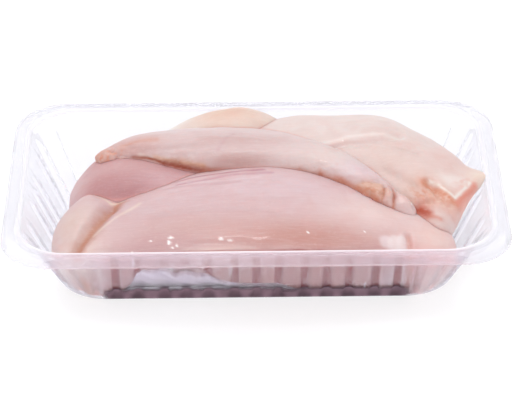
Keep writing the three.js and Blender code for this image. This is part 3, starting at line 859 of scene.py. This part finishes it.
def depth_in_tray(points):
    """How far in each point lies from the plain wall's outside, at its own height: the distance to the edge
    of a rounded rectangle."""
    spread = mix(FOOT_BEVEL, STEP_SPREAD, (points[:, 2] - FOOT_BEVEL) / (STEP_Z - FOOT_BEVEL))
    share = np.minimum(spread, STEP_SPREAD) / RIM_SPREAD
    radius = mix(FOOT[2], RIM[2], share)
    qx = abs(points[:, 0]) - (mix(FOOT[0], RIM[0], share) - radius)
    qy = abs(points[:, 1]) - (mix(FOOT[1], RIM[1], share) - radius)
    outside = np.hypot(np.maximum(qx, 0), np.maximum(qy, 0)) + np.minimum(np.maximum(qx, qy), 0)
    return radius - outside


# Pad


def through(places, values, x):
    """Smooth curve through the stations: between neighbours a cubic that has the mean slope at each."""
    places, values = np.asarray(places, float), np.asarray(values, float)
    number = np.arange(len(places))
    low = np.maximum(number - 1, 0)
    high = np.minimum(number + 1, len(places) - 1)
    slope = (values[high] - values[low]) / (places[high] - places[low])
    i = np.clip(np.searchsorted(places, x, side="right") - 1, 0, len(places) - 2)
    span = places[i + 1] - places[i]
    t = np.clip((x - places[i]) / span, 0, 1)
    rest = 1 - t
    ends = values[i] * (1 + 2 * t) * rest**2 + values[i + 1] * (3 - 2 * t) * t**2
    return ends + span * t * rest * (slope[i] * rest - slope[i + 1] * t)


def pad_line(share, curl):
    """Middle line of the pad from back to front: flat, then rising where the row is curled."""
    y = mix(PAD_BACK_Y, PAD_FRONT_Y - CURL_FORWARD * curl, share)
    raised = np.maximum((CURL_START_Y - y) / (CURL_START_Y - PAD_FRONT_Y + CURL_FORWARD), 0)
    z = CAD_SHEET + GAP + PAD_THICKNESS / 2 + CURL_HEIGHT * curl * raised**CURL_POWER
    return y, z


def pad_grid(rows, across, grow=0.0, wrinkle=0.0):
    """A thin slab lofted along x: each ring runs forwards along its top and back along its underside, half a
    thickness to either side of the middle line, thinner towards its edges. Wrinkles run slantwise over the
    curled part."""
    half = PAD_LENGTH / 2
    x = -half * np.cos(np.linspace(0, math.pi, rows))[:, None]
    places, curls = np.array(CURL_PLACES, float).T
    i = np.clip(np.searchsorted(places, x, side="right") - 1, 0, len(places) - 2)
    curl = mix(curls[i], curls[i + 1], smooth_step(0, 1, (x - places[i]) / (places[i + 1] - places[i])))
    between = smooth_step(2, 4.5, abs(x - flute_middles()).min(1))[:, None]
    share = np.sin(np.linspace(0, math.pi / 2, across))[None, :] * (1 - 0.02 * between * curl)
    y, z = pad_line(share, curl)
    nudge = 0.004
    y1, z1 = pad_line(share + nudge, curl)
    y0, z0 = pad_line(share - nudge, curl)
    length = np.hypot(y1 - y0, z1 - z0)
    run_y, run_z = (y1 - y0) / length, (z1 - z0) / length
    from_end = np.clip((half - abs(x)) / PAD_EDGE, 0, 1)
    depth = PAD_BACK_Y - PAD_FRONT_Y
    from_side = np.clip(np.minimum(share, 1 - share) * depth / PAD_EDGE, 0, 1)
    thinning = 0.4 * (2 - from_end - from_side)
    lift = 0
    if wrinkle:
        slanted = np.stack([x + 0.9 * z + 0 * y, y + 0 * x, z - 0.5 * x], -1)
        folds = 1 - abs(lumps(slanted, (5, 40, 26), 11)) * 2
        lift = wrinkle * folds * smooth_step(-32, -40, y) * smooth_step(0, 0.3, curl)
    sides = []
    for direction in (1, -1):
        reach = direction * (PAD_THICKNESS / 2 * (1 - thinning) + grow) + lift
        slide = (share - 0.5) * 2 * grow
        side_y = y + run_y * slide + run_z * reach
        side_z = z + run_z * slide - run_y * reach
        sides.append(np.stack([x + grow * x / half + 0 * y, side_y, side_z], -1))
    return np.concatenate([sides[0], sides[1][:, ::-1]], 1)


# Fillets


def fillet_lines(fillet, x):
    """Smooth lines through a fillet's stations at each x: front, back and ridge y, ridge and keel z, the
    slope from the front edge to the back edge, and the height between them under the ridge."""
    x_at, *lines = np.array(fillet["stations"], float).T
    near_y, near_z, far_y, far_z, centre_y, ridge_z, keel = [through(x_at, line, x) for line in lines]
    tilt = (far_z - near_z) / (far_y - near_y)
    return near_y, far_y, centre_y, ridge_z, keel, tilt, near_z + tilt * (centre_y - near_y)


def fillet_grid(fillet, grow=0.0):
    """Loft along x. At each x the front edge, the back edge and the ridge are joined by quarter ellipses over
    the top and squarer quarters underneath, all closing bluntly at both ends. Grooves take their depth off
    the top and hollows lift the underside."""
    first, last = fillet["stations"][0][0] - grow, fillet["stations"][-1][0] + grow
    share = -np.cos(np.linspace(0, math.pi, FILLET_ROWS)[1:-1])[:, None]
    x = (first + last) / 2 + (last - first) / 2 * share
    blunt = np.where(share < 0, *fillet["blunt"])
    swell = (1 - abs(share) ** blunt) ** (1 / blunt)
    near_y, far_y, centre_y, ridge_z, keel, tilt, centre_z = fillet_lines(fillet, x)
    over = np.linspace(0, math.pi, TOP_POINTS, endpoint=False)
    under = np.linspace(math.pi, 2 * math.pi, UNDER_POINTS, endpoint=False)
    angle = np.concatenate([over, under])[None, :]
    across = np.cos(angle)
    sine = np.sin(angle)
    upward = np.where(sine < 0, -(abs(sine) ** UNDERSIDE_POWER), sine)
    reach = np.where(across > 0, far_y - centre_y, centre_y - near_y) * swell + grow
    rise = np.where(upward > 0, ridge_z - centre_z, centre_z - keel)
    y = centre_y + across * reach
    z = centre_z + tilt * across * reach + upward * (rise * swell + grow)
    seen = np.stack([x + 0 * y, y], -1)
    for path, width, depth in fillet["grooves"]:
        z = z - np.maximum(upward, 0) * depth * np.exp(-((from_path(seen, path) / width) ** 2))
    for path, width, depth in fillet["hollows"]:
        z = z + np.maximum(-upward, 0) * depth * np.exp(-((from_path(seen, path) / width) ** 2))
    return np.concatenate([seen, z[..., None]], -1)


def upper_height(fillet, points):
    """Height of a fillet's smooth upper side at the x and y of each point: the same quarter ellipses over its
    ridge as in its loft, and far down beside it."""
    x, y = points[:, 0], points[:, 1]
    first, last = fillet["stations"][0][0], fillet["stations"][-1][0]
    share = np.clip(2 * (x - first) / (last - first) - 1, -1, 1)
    blunt = np.where(share < 0, *fillet["blunt"])
    swell = np.maximum(1 - abs(share) ** blunt, 1e-6) ** (1 / blunt)
    near_y, far_y, centre_y, ridge_z, _, tilt, centre_z = fillet_lines(fillet, x)
    reach = np.where(y > centre_y, far_y - centre_y, centre_y - near_y) * swell
    across = (y - centre_y) / reach
    arch = np.sqrt(np.maximum(1 - across**2, 0)) * (ridge_z - centre_z) * swell
    height = centre_z + tilt * across * reach + arch
    return np.where((abs(across) < 1) & (abs(share) < 1), height, BESIDE)


def spot(points, place):
    """1 at a place seen from above, falling off as a bell over its reach along x and y."""
    x, y, reach_x, reach_y = place
    return np.exp(-(((points[..., 0] - x) / reach_x) ** 2) - ((points[..., 1] - y) / reach_y) ** 2)


def crisp_spot(points, place, wander=0.0):
    """Like a spot, but even inside and with a sharp edge that the wander moves in and out."""
    x, y, reach_x, reach_y = place
    away = ((points[:, 0] - x) / reach_x) ** 2 + ((points[:, 1] - y) / reach_y) ** 2
    return np.exp(-((away * (1 + wander)) ** 3))


def meat_relief(points, fillet, lump_height, seed):
    """Height over the smooth form: broad lumps, long fine fibres that lie along the fillet, and torn
    knobbly meat in the ragged places."""
    length, width, height = fillet["fibre"]
    broad = lump_height * lumps(points, (19, 13, 13), seed)
    fine = 0.35 * lump_height * lumps(points, (7, 5, 5), seed + 1)
    fibres = height * lumps(points, (length, width, width * 1.4), seed + 2)
    relief = broad + fine + fibres
    for *place, height in fillet.get("lobes", []):
        relief = relief + height * spot(points, place)
    for *place, rough in fillet.get("ragged", []):
        torn = 1.4 * abs(lumps(points, (4.2, 4.6, 4.2), seed + 3))
        torn = torn + 0.5 * lumps(points, (1.9, 2.1, 1.9), seed + 4)
        relief = relief + rough * spot(points, place) * (torn - 0.3)
    return relief


def fillet_object(name, fillet, settings, seed, grow=0.0):
    """A fillet's loft, each point moved out along its normal by the relief and by an even amount."""
    grid = fillet_grid(fillet)
    relief = meat_relief(grid, fillet, settings.lump_height / MM, seed)
    return lofted(name, grid + grid_normals(grid) * (relief + grow)[..., None])


def tinted(colour, tone, weight):
    """The colours with a share of one screen tone mixed in."""
    return mix(colour, np.array(srgb(*tone)), np.clip(weight, 0, 1)[:, None])


def meat_colour(points, fillet, others, wander, settings):
    """The meat's painted colour: a base, broad tones, patches with a sharp edge, stains along paths, speckled
    grains, and a warm painted shade where it meets another fillet. Some tones and stains are painted shade or
    painted highlights."""
    colour = np.tile(srgb(*fillet["base"]), (len(points), 1))
    for *place, tone, strength in fillet["tones"]:
        colour = tinted(colour, tone, strength * spot(points, place))
    for *place, tone, strength in fillet.get("patches", []):
        colour = tinted(colour, tone, strength * crisp_spot(points, place, 0.2 * wander))
    for path, width, tone, strength in fillet["stains"]:
        away = from_path(points, path) / width
        colour = tinted(colour, tone, strength * np.exp(-(away**2) * np.exp(0.7 * wander)))
    speckle = smooth_step(0.0, 0.45, lumps(points, (1.3, 1.2, 1.2), 7) + 0.3 * wander)
    for *place, tone, strength in fillet.get("grains", []):
        colour = tinted(colour, tone, strength * spot(points, place) * speckle)
    # Warm painted shade where the meat meets another fillet
    contact_shade = 0
    for other in others:
        above = points[:, 2] - upper_height(other, points)
        contact_shade = np.maximum(contact_shade, np.exp(-((above / 0.7) ** 2)))
    return mix(colour, np.array(settings.seam), 0.45 * np.broadcast_to(contact_shade, len(points))[:, None])


def press_and_shade_on_wall(points, colour, wander, settings):
    """The darker look of meat that is pressed on the wall, with painted shade that makes it darker in the
    middle of the pack and darkest on the crests of the flutes, and the soaked colour with painted shade low
    down in the middle of the pack. Gives the colours and how hard each place is pressed."""
    inwards = depth_in_tray(points)
    below_rim = 1 - smooth_step(STEP_Z - 1, STEP_Z + 1, points[:, 2])
    pressed = (1 - smooth_step(3.0, 3.8, inwards)) * below_rim
    # Painted shade on the crests of the flutes
    crest_shade = pressed * smooth_step(1.9, 2.5, inwards)
    middle = smooth_step(-72, -67, points[:, 0]) * (1 - smooth_step(69, 75, points[:, 0]))
    low = 1 - smooth_step(2.5, 7, points[:, 2] + 0.6 * wander)
    # More painted shade in the middle of the pack than at its ends
    share = pressed * (0.06 + 0.32 * middle) + crest_shade * (0.06 + 0.68 * middle)
    share = np.minimum(share, 1) * (1 - 0.4 * smooth_step(24, 30, points[:, 2]))
    colour = mix(colour, np.array(settings.pressed), share[:, None])
    # Soaked colour with painted shade low down in the middle of the pack
    return mix(colour, np.array(settings.soaked_and_shaded), (0.8 * low * middle)[:, None]), pressed


def paint_fillet(obj, fillet, others, settings):
    """Paints the colour and wetness of each vertex: the meat's colour with its painted shade and highlights,
    the look of what is pressed on the wall with its painted shade, then pale films and glints."""
    points = vertex_places(obj.data)
    wander = lumps(points, (6, 5, 5), 5) + 0.6 * lumps(points, (2.2, 2, 2), 6)
    colour = meat_colour(points, fillet, others, wander, settings)
    colour, pressed = press_and_shade_on_wall(points, colour, wander, settings)
    colour = colour * settings.tone
    wet = 0.35 * pressed
    for path, width, tone, strength in fillet.get("films", []):
        colour = tinted(colour, tone, strength * np.exp(-((from_path(points, path) / width) ** 2)))
    for place in fillet.get("glints", []):
        glint = crisp_spot(points, place, 0.5 * wander)
        colour = mix(colour, 1.0, 0.95 * glint[:, None])
        wet = np.maximum(wet, glint)
    paint(obj.data, "tint", colour)
    for place in fillet.get("wet", []):
        wet = np.maximum(wet, spot(points, place))
    mask(obj.data, "wet", wet)


# Materials


def add(tree, kind, **values):
    """A new node. Values name its input sockets (the first of that name), or else its own settings."""
    node = tree.nodes.new(kind)
    sockets = {socket.name.lower().replace(" ", "_"): socket for socket in reversed(list(node.inputs))}
    for name, value in values.items():
        if name in sockets:
            sockets[name].default_value = value
        else:
            setattr(node, name, value)
    return node


def wire(tree, *pairs):
    for source, target in pairs:
        tree.links.new(source, target)


def blank_material(name):
    material = bpy.data.materials.new(name)
    material.use_nodes = True
    material.node_tree.nodes.clear()
    return material


def new_group(name, inputs, outputs):
    """An empty node group with named sockets: each input as (name, kind, default)."""
    tree = bpy.data.node_groups.new(name, "ShaderNodeTree")
    for label, kind, default in inputs:
        socket = tree.interface.new_socket(label, in_out="INPUT", socket_type=kind)
        if default is not None:
            socket.default_value = default
    for label, kind in outputs:
        tree.interface.new_socket(label, in_out="OUTPUT", socket_type=kind)
    return tree, tree.nodes.new("NodeGroupInput"), tree.nodes.new("NodeGroupOutput")


def place_group(tree, group, **values):
    node = tree.nodes.new("ShaderNodeGroup")
    node.node_tree = group
    for name, value in values.items():
        node.inputs[name.replace("_", " ").capitalize()].default_value = value
    return node


def streaks_group():
    """Long thin streaks: noise stretched along the fibres, turned by an angle seen from above."""
    tree, given, result = new_group(
        "meat_streaks",
        [("Vector", "NodeSocketVector", None), ("Turn", "NodeSocketVector", (0, 0, 0)),
         ("Stretch", "NodeSocketVector", (40, 500, 350))],
        [("Streak", "NodeSocketFloat"), ("Fine", "NodeSocketFloat")])
    turned = add(tree, "ShaderNodeMapping")
    broad = add(tree, "ShaderNodeTexNoise", scale=1.0, detail=4.0, roughness=0.6)
    fine = add(tree, "ShaderNodeTexNoise", scale=2.7, detail=3.0, roughness=0.7)
    wire(tree,
         (given.outputs["Vector"], turned.inputs["Vector"]),
         (given.outputs["Turn"], turned.inputs["Rotation"]),
         (given.outputs["Stretch"], turned.inputs["Scale"]),
         (turned.outputs[0], broad.inputs["Vector"]),
         (turned.outputs[0], fine.inputs["Vector"]),
         (broad.outputs["Fac"], result.inputs["Streak"]),
         (fine.outputs["Fac"], result.inputs["Fine"]))
    return tree


def mottle_group():
    """Soft patches and small specks of one size, as two masks from 0 to 1."""
    tree, given, result = new_group(
        "meat_mottle",
        [("Vector", "NodeSocketVector", None), ("Patches", "NodeSocketFloat", 90.0),
         ("Specks", "NodeSocketFloat", 700.0)],
        [("Patch", "NodeSocketFloat"), ("Speck", "NodeSocketFloat")])
    patches = add(tree, "ShaderNodeTexNoise", detail=3.0, roughness=0.55, distortion=0.4)
    specks = add(tree, "ShaderNodeTexNoise", detail=2.0, roughness=0.5)
    patch_range, speck_range = [
        add(tree, "ShaderNodeMapRange", interpolation_type="SMOOTHSTEP", from_min=low, from_max=high)
        for low, high in ((0.38, 0.66), (0.56, 0.7))
    ]
    wire(tree,
         (given.outputs["Vector"], patches.inputs["Vector"]),
         (given.outputs["Patches"], patches.inputs["Scale"]),
         (given.outputs["Vector"], specks.inputs["Vector"]),
         (given.outputs["Specks"], specks.inputs["Scale"]),
         (patches.outputs["Fac"], patch_range.inputs["Value"]),
         (specks.outputs["Fac"], speck_range.inputs["Value"]),
         (patch_range.outputs["Result"], result.inputs["Patch"]),
         (speck_range.outputs["Result"], result.inputs["Speck"]))
    return tree


def colour_mix(tree, kind, factor, first, second):
    """Mixes two colours. Each of the three is a socket to join or a plain value."""
    node = tree.nodes.new("ShaderNodeMix")
    node.data_type = "RGBA"
    node.blend_type = kind
    for number, value in ((0, factor), (6, first), (7, second)):
        if isinstance(value, bpy.types.NodeSocket):
            tree.links.new(value, node.inputs[number])
        elif number:
            node.inputs[number].default_value = (*value, 1)
        else:
            node.inputs[number].default_value = value
    return node.outputs[2]


def number_math(tree, kind, first, second, third=None):
    node = add(tree, "ShaderNodeMath", operation=kind)
    for socket, value in zip(node.inputs, (first, second, third)):
        if isinstance(value, bpy.types.NodeSocket):
            tree.links.new(value, socket)
        elif value is not None:
            socket.default_value = value
    return node.outputs[0]


def raw_meat(name, groups, turn, light_depth, streak_dark, streak_pale):
    """Moist raw meat: its painted tint, with streaks of darker fibre and paler membrane, soft patches, tiny
    specks, and a thin wet coat that is stronger in patches."""
    material = blank_material(name)
    tree = material.node_tree
    place = add(tree, "ShaderNodeTexCoord").outputs["Object"]
    tint = add(tree, "ShaderNodeAttribute", attribute_name="tint").outputs["Color"]
    streaks = place_group(tree, groups["streaks"], Turn=(0, 0, turn))
    mottle = place_group(tree, groups["mottle"])
    wire(tree, (place, streaks.inputs["Vector"]), (place, mottle.inputs["Vector"]))
    dark = add(tree, "ShaderNodeMapRange", from_min=0.5, from_max=0.75, to_max=0.14)
    pale = add(tree, "ShaderNodeMapRange", from_min=0.52, from_max=0.32, to_max=0.1)
    wire(tree,
         (streaks.outputs["Streak"], dark.inputs["Value"]),
         (streaks.outputs["Fine"], pale.inputs["Value"]))
    colour = colour_mix(tree, "MULTIPLY", dark.outputs[0], tint, streak_dark)
    colour = colour_mix(tree, "MIX", pale.outputs[0], colour, streak_pale)
    patch = number_math(tree, "MULTIPLY", mottle.outputs["Patch"], 0.5)
    colour = colour_mix(tree, "MULTIPLY", patch, colour, srgb(250, 238, 236))
    speck = number_math(tree, "MULTIPLY", mottle.outputs["Speck"], 0.05)
    colour = colour_mix(tree, "MIX", speck, colour, srgb(246, 226, 216))
    wet = add(tree, "ShaderNodeAttribute", attribute_name="wet").outputs["Fac"]
    beads = add(tree, "ShaderNodeTexNoise", scale=620.0, detail=1.0)
    wire(tree, (place, beads.inputs["Vector"]))
    shine = add(tree, "ShaderNodeMapRange", to_min=0.5, to_max=0.36)
    coat = add(tree, "ShaderNodeMapRange", to_min=0.02, to_max=0.1)
    wire(tree,
         (mottle.outputs["Patch"], shine.inputs["Value"]),
         (mottle.outputs["Patch"], coat.inputs["Value"]))
    coat = number_math(tree, "ADD", coat.outputs[0], wet)
    skin = number_math(tree, "MULTIPLY_ADD", streaks.outputs["Fine"], 0.5, mottle.outputs["Speck"])
    beading = number_math(tree, "MULTIPLY", number_math(tree, "MULTIPLY", beads.outputs["Fac"], wet), 6.0)
    height = number_math(tree, "ADD", skin, beading)
    bump = add(tree, "ShaderNodeBump", strength=0.5, distance=0.07 * MM)
    wire(tree, (height, bump.inputs["Height"]))
    meat = add(tree, "ShaderNodeBsdfPrincipled", subsurface_weight=0.35, subsurface_scale=light_depth,
               subsurface_radius=(1.0, 0.42, 0.34), coat_roughness=0.07, specular_ior_level=0.35)
    wire(tree,
         (colour, meat.inputs["Base Color"]),
         (shine.outputs[0], meat.inputs["Roughness"]),
         (coat, meat.inputs["Coat Weight"]),
         (bump.outputs[0], meat.inputs["Normal"]),
         (meat.outputs[0], add(tree, "ShaderNodeOutputMaterial").inputs["Surface"]))
    return material


def clear_plastic(name, tint):
    """Thin clear glossy sheet: part of the light is bent and mirrored and the larger part goes straight
    through, as such thin film hardly bends it. Shadow rays pass straight through. Where the sheet is hazy,
    carries a painted highlight, or is wet with juice and painted shade, some of the light is scattered in
    the painted colour."""
    material = blank_material(name)
    tree = material.node_tree
    place = add(tree, "ShaderNodeTexCoord").outputs["Object"]
    waves = add(tree, "ShaderNodeTexNoise", scale=60.0, detail=2.0)
    wear = add(tree, "ShaderNodeTexNoise", scale=420.0, detail=3.0)
    shine = add(tree, "ShaderNodeMapRange", to_min=0.02, to_max=0.09)
    bump = add(tree, "ShaderNodeBump", strength=0.25, distance=0.1 * MM)
    sheet = add(tree, "ShaderNodeBsdfPrincipled", ior=1.2, transmission_weight=1.0)
    sheet.inputs["Base Color"].default_value = (*tint, 1)
    passing = add(tree, "ShaderNodeBsdfTransparent")
    passing.inputs["Color"].default_value = (*tint, 1)
    ray = add(tree, "ShaderNodeLightPath")
    thin = add(tree, "ShaderNodeMixShader", fac=STRAIGHT_THROUGH)
    choice = add(tree, "ShaderNodeMixShader")
    scatter = add(tree, "ShaderNodeBsdfDiffuse")
    cover = add(tree, "ShaderNodeAttribute", attribute_name="cover")
    stain = add(tree, "ShaderNodeAttribute", attribute_name="tint")
    covered = add(tree, "ShaderNodeMixShader")
    wire(tree,
         (cover.outputs["Fac"], covered.inputs[0]),
         (stain.outputs["Color"], scatter.inputs["Color"]),
         (choice.outputs[0], covered.inputs[1]),
         (scatter.outputs[0], covered.inputs[2]),
         (place, waves.inputs["Vector"]),
         (place, wear.inputs["Vector"]),
         (waves.outputs["Fac"], bump.inputs["Height"]),
         (wear.outputs["Fac"], shine.inputs["Value"]),
         (shine.outputs[0], sheet.inputs["Roughness"]),
         (bump.outputs[0], sheet.inputs["Normal"]),
         (ray.outputs["Is Shadow Ray"], choice.inputs[0]),
         (sheet.outputs[0], thin.inputs[1]),
         (passing.outputs[0], thin.inputs[2]),
         (thin.outputs[0], choice.inputs[1]),
         (passing.outputs[0], choice.inputs[2]),
         (covered.outputs[0], add(tree, "ShaderNodeOutputMaterial").inputs["Surface"]))
    return material


def absorbent_paper(name):
    """Soft matt paper under a thin film, with fine embossed dots and crossing creases."""
    material = blank_material(name)
    tree = material.node_tree
    place = add(tree, "ShaderNodeTexCoord").outputs["Object"]
    tint = add(tree, "ShaderNodeAttribute", attribute_name="tint").outputs["Color"]
    dots = add(tree, "ShaderNodeTexVoronoi", scale=420.0)
    creases = add(tree, "ShaderNodeTexNoise", scale=150.0, detail=5.0, roughness=0.65, distortion=1.2)
    shade = add(tree, "ShaderNodeMapRange", from_min=0.35, from_max=0.7, to_max=0.5)
    height = number_math(tree, "MULTIPLY_ADD", dots.outputs["Distance"], 0.4, creases.outputs["Fac"])
    bump = add(tree, "ShaderNodeBump", strength=0.6, distance=0.4 * MM)
    paper = add(tree, "ShaderNodeBsdfPrincipled", roughness=0.55, specular_ior_level=0.4)
    colour = colour_mix(tree, "MULTIPLY", shade.outputs[0], tint, srgb(206, 196, 214))
    wire(tree,
         (place, dots.inputs["Vector"]),
         (place, creases.inputs["Vector"]),
         (creases.outputs["Fac"], shade.inputs["Value"]),
         (height, bump.inputs["Height"]),
         (colour, paper.inputs["Base Color"]),
         (bump.outputs[0], paper.inputs["Normal"]),
         (paper.outputs[0], add(tree, "ShaderNodeOutputMaterial").inputs["Surface"]))
    return material


def floor_paper(name, colour, glow):
    """Smooth pale studio paper on a light table, with a very faint unevenness."""
    material = blank_material(name)
    tree = material.node_tree
    place = add(tree, "ShaderNodeTexCoord").outputs["Object"]
    clouds = add(tree, "ShaderNodeTexNoise", scale=3.0, detail=2.0)
    strength = number_math(tree, "MULTIPLY", clouds.outputs["Fac"], 0.02)
    paper = add(tree, "ShaderNodeBsdfPrincipled", roughness=0.8, specular_ior_level=0.2,
                emission_strength=glow)
    paper.inputs["Emission Color"].default_value = (1.0, 1.0, 1.0, 1.0)
    wire(tree,
         (place, clouds.inputs["Vector"]),
         (colour_mix(tree, "MIX", strength, colour, (0.9, 0.9, 0.92)), paper.inputs["Base Color"]),
         (paper.outputs[0], add(tree, "ShaderNodeOutputMaterial").inputs["Surface"]))
    return material


# Operators

FILLETS = [
    ("front", FRONT, [], 0.0, srgb(238, 196, 194), srgb(240, 222, 224)),
    ("left", LEFT, ["front"], 0.5, srgb(232, 196, 198), srgb(226, 192, 196)),
    ("right", RIGHT, ["front", "left"], -0.35, srgb(246, 224, 216), srgb(246, 234, 230)),
    ("back", BACK, ["front", "left", "right"], 0.1, srgb(248, 222, 206), srgb(248, 236, 226)),
    ("top", TOP, ["front", "left", "right", "back"], -0.2, srgb(238, 204, 198), srgb(242, 226, 226)),
]


class MEATTRAY_OT_tray(bpy.types.Operator):
    """Make the clear fluted tray"""

    bl_idname = "meat_tray.make_tray"
    bl_label = "Clear tray"

    def execute(self, context):
        settings = context.scene.meat_tray_tray
        grid, spread, inner = tray_grid(settings)
        tray = lofted("clear_tray", grid)
        paint_tray(tray, grid, spread, inner, settings)
        smooth(tray, 50)
        dress(tray, clear_plastic("clear_plastic", tuple(settings.tint)), "tray")
        return {"FINISHED"}


class MEATTRAY_OT_pad(bpy.types.Operator):
    """Make the absorbent pad with its curled front edge"""

    bl_idname = "meat_tray.make_pad"
    bl_label = "Absorbent pad"

    def execute(self, context):
        settings = context.scene.meat_tray_pad
        pad = lofted("absorbent_pad", pad_grid(*PAD_RINGS, wrinkle=settings.wrinkle / MM))
        points = vertex_places(pad.data)
        # Darker towards the bottom: paper soaked with juice, with painted shade low down
        damp_and_shaded = 1 - smooth_step(2.4, 5.0, points[:, 2] + 0.8 * lumps(points, (6, 6, 6), 21))
        colour = mix(np.array(settings.dry), np.array(settings.soaked_and_shaded), damp_and_shaded[:, None])
        paint(pad.data, "tint", colour)
        smooth(pad, 60)
        dress(pad, absorbent_paper("absorbent_paper"), "pad")
        return {"FINISHED"}


class MEATTRAY_OT_fillets(bpy.types.Operator):
    """Make the fillets, each resting on the pad and on the fillets under it"""

    bl_idname = "meat_tray.make_fillets"
    bl_label = "Fillets"

    def execute(self, context):
        settings = context.scene.meat_tray_meat
        groups = {"streaks": streaks_group(), "mottle": mottle_group()}
        room = room_cutter(context.scene.meat_tray_tray)
        pad_cutter = lofted("pad_cutter", pad_grid(*PAD_CUTTER_RINGS, grow=GAP))
        cutters = {}
        for number, (name, fillet, under, turn, dark, pale) in enumerate(FILLETS):
            seed = 31 + 7 * number
            piece = fillet_object(f"fillet_{name}_meat", fillet, settings, seed)
            cutters[name] = fillet_object(f"{name}_cutter", fillet, settings, seed, grow=SEAM)
            cut(piece, room, "INTERSECT")
            cut(piece, pad_cutter)
            for lower in under:
                cut(piece, cutters[lower])
            keep_largest(piece)
            others = [entry[1] for entry in FILLETS if entry[0] != name]
            paint_fillet(piece, fillet, others, settings)
            smooth(piece, 55)
            material = raw_meat(f"raw_meat_{name}", groups, turn, settings.depth_of_light, dark, pale)
            dress(piece, material, f"fillet_{name}")
        discard(room, pad_cutter, *cutters.values())
        return {"FINISHED"}


class MEATTRAY_OT_studio(bpy.types.Operator):
    """Make the floor, the lights and the camera"""

    bl_idname = "meat_tray.make_studio"
    bl_label = "Studio"

    def execute(self, context):
        settings = context.scene.meat_tray_studio
        make_floor(settings)
        make_lights(context, settings)
        make_camera(context, settings)
        return {"FINISHED"}


def make_floor(settings):
    """A large flat square under the pack."""
    side = 4000.0
    corners = ((-1, -1), (1, -1), (1, 1), (-1, 1))
    points = np.array([(x * side, y * side, -0.05) for x, y in corners])
    floor = bpy.data.objects.new("studio_floor", mesh_of("studio_floor", points, np.arange(4), np.array([4])))
    bpy.context.scene.collection.objects.link(floor)
    floor.data.materials.append(floor_paper("floor_paper", tuple(settings.floor), settings.floor_glow))


def make_lamp(name, power, size, place, aim):
    lamp = bpy.data.lights.new(name, "AREA")
    lamp.shape = "RECTANGLE"
    lamp.energy = power
    lamp.size, lamp.size_y = size
    holder = bpy.data.objects.new(name, lamp)
    holder.location = place
    holder.rotation_euler = (Vector(aim) - Vector(place)).to_track_quat("-Z", "Y").to_euler()
    bpy.context.scene.collection.objects.link(holder)


def make_lights(context, settings):
    """Even light from all round, large soft lamps behind and in front, and a small one for the glints."""
    world = bpy.data.worlds.new("studio_surround")
    world.use_nodes = True
    background = world.node_tree.nodes["Background"]
    background.inputs["Color"].default_value = (1.0, 1.0, 1.0, 1.0)
    background.inputs["Strength"].default_value = settings.surround
    context.scene.world = world
    context.scene.view_settings.view_transform = "Standard"
    make_lamp("key_lamp", settings.key, (0.9, 0.7), (-0.15, 0.45, 1.05), (0, 0, 0.02))
    make_lamp("front_lamp", settings.key * 0.8, (1.4, 0.5), (0, -1.2, 0.5), (0, 0, 0.02))
    make_lamp("glint_lamp", settings.key * 0.5, (0.12, 0.1), (-0.05, 0.2, 1.1), (0, -0.03, 0.03))


def make_camera(context, settings):
    """Looks at the middle of the pack from the photograph's height and heading."""
    aim = Vector((0.36, 3.95, 20.0)) * MM
    elevation, heading = settings.elevation, settings.heading
    right = Vector((math.cos(heading), math.sin(heading), 0))
    back = Vector((
        math.sin(heading) * math.cos(elevation),
        -math.cos(heading) * math.cos(elevation),
        math.sin(elevation),
    ))
    up = back.cross(right)
    aim = right * aim.x + up * aim.y + Vector((0, 0, aim.z))
    leaned_right = right * math.cos(settings.roll) + up * math.sin(settings.roll)
    leaned_up = up * math.cos(settings.roll) - right * math.sin(settings.roll)
    camera = bpy.data.objects.new("photo_camera", bpy.data.cameras.new("photo_camera"))
    turn = Matrix((leaned_right, leaned_up, back)).transposed().to_4x4()
    camera.matrix_world = Matrix.Translation(aim + back * settings.distance) @ turn
    camera.data.sensor_width = 36
    camera.data.lens = settings.lens
    context.scene.collection.objects.link(camera)
    context.scene.camera = camera


class MEATTRAY_PT_panel(bpy.types.Panel):
    """Lists the pieces of the pack and their settings"""

    bl_idname = "MEATTRAY_PT_panel"
    bl_label = "Meat tray pack"
    bl_space_type = "VIEW_3D"
    bl_region_type = "UI"
    bl_category = "Meat tray"

    def draw(self, context):
        for operator, holder in PANEL_ROWS:
            box = self.layout.box()
            box.operator(operator.bl_idname)
            group = getattr(context.scene, holder)
            for name in group.__annotations__:
                box.prop(group, name)


PANEL_ROWS = [
    (MEATTRAY_OT_tray, "meat_tray_tray"),
    (MEATTRAY_OT_pad, "meat_tray_pad"),
    (MEATTRAY_OT_fillets, "meat_tray_meat"),
    (MEATTRAY_OT_studio, "meat_tray_studio"),
]
SETTINGS = {
    "meat_tray_tray": TraySettings,
    "meat_tray_pad": PadSettings,
    "meat_tray_meat": MeatSettings,
    "meat_tray_studio": StudioSettings,
}
CLASSES = [*SETTINGS.values(), *(operator for operator, _ in PANEL_ROWS), MEATTRAY_PT_panel]


def register():
    for kind in CLASSES:
        bpy.utils.register_class(kind)
    for holder, kind in SETTINGS.items():
        setattr(bpy.types.Scene, holder, PointerProperty(type=kind))


def unregister():
    for holder in SETTINGS:
        delattr(bpy.types.Scene, holder)
    for kind in reversed(CLASSES):
        bpy.utils.unregister_class(kind)


def main():
    register()
    bpy.ops.meat_tray.make_studio()
    bpy.ops.meat_tray.make_tray()
    bpy.ops.meat_tray.make_pad()
    bpy.ops.meat_tray.make_fillets()


if __name__ == "__main__":
    main()
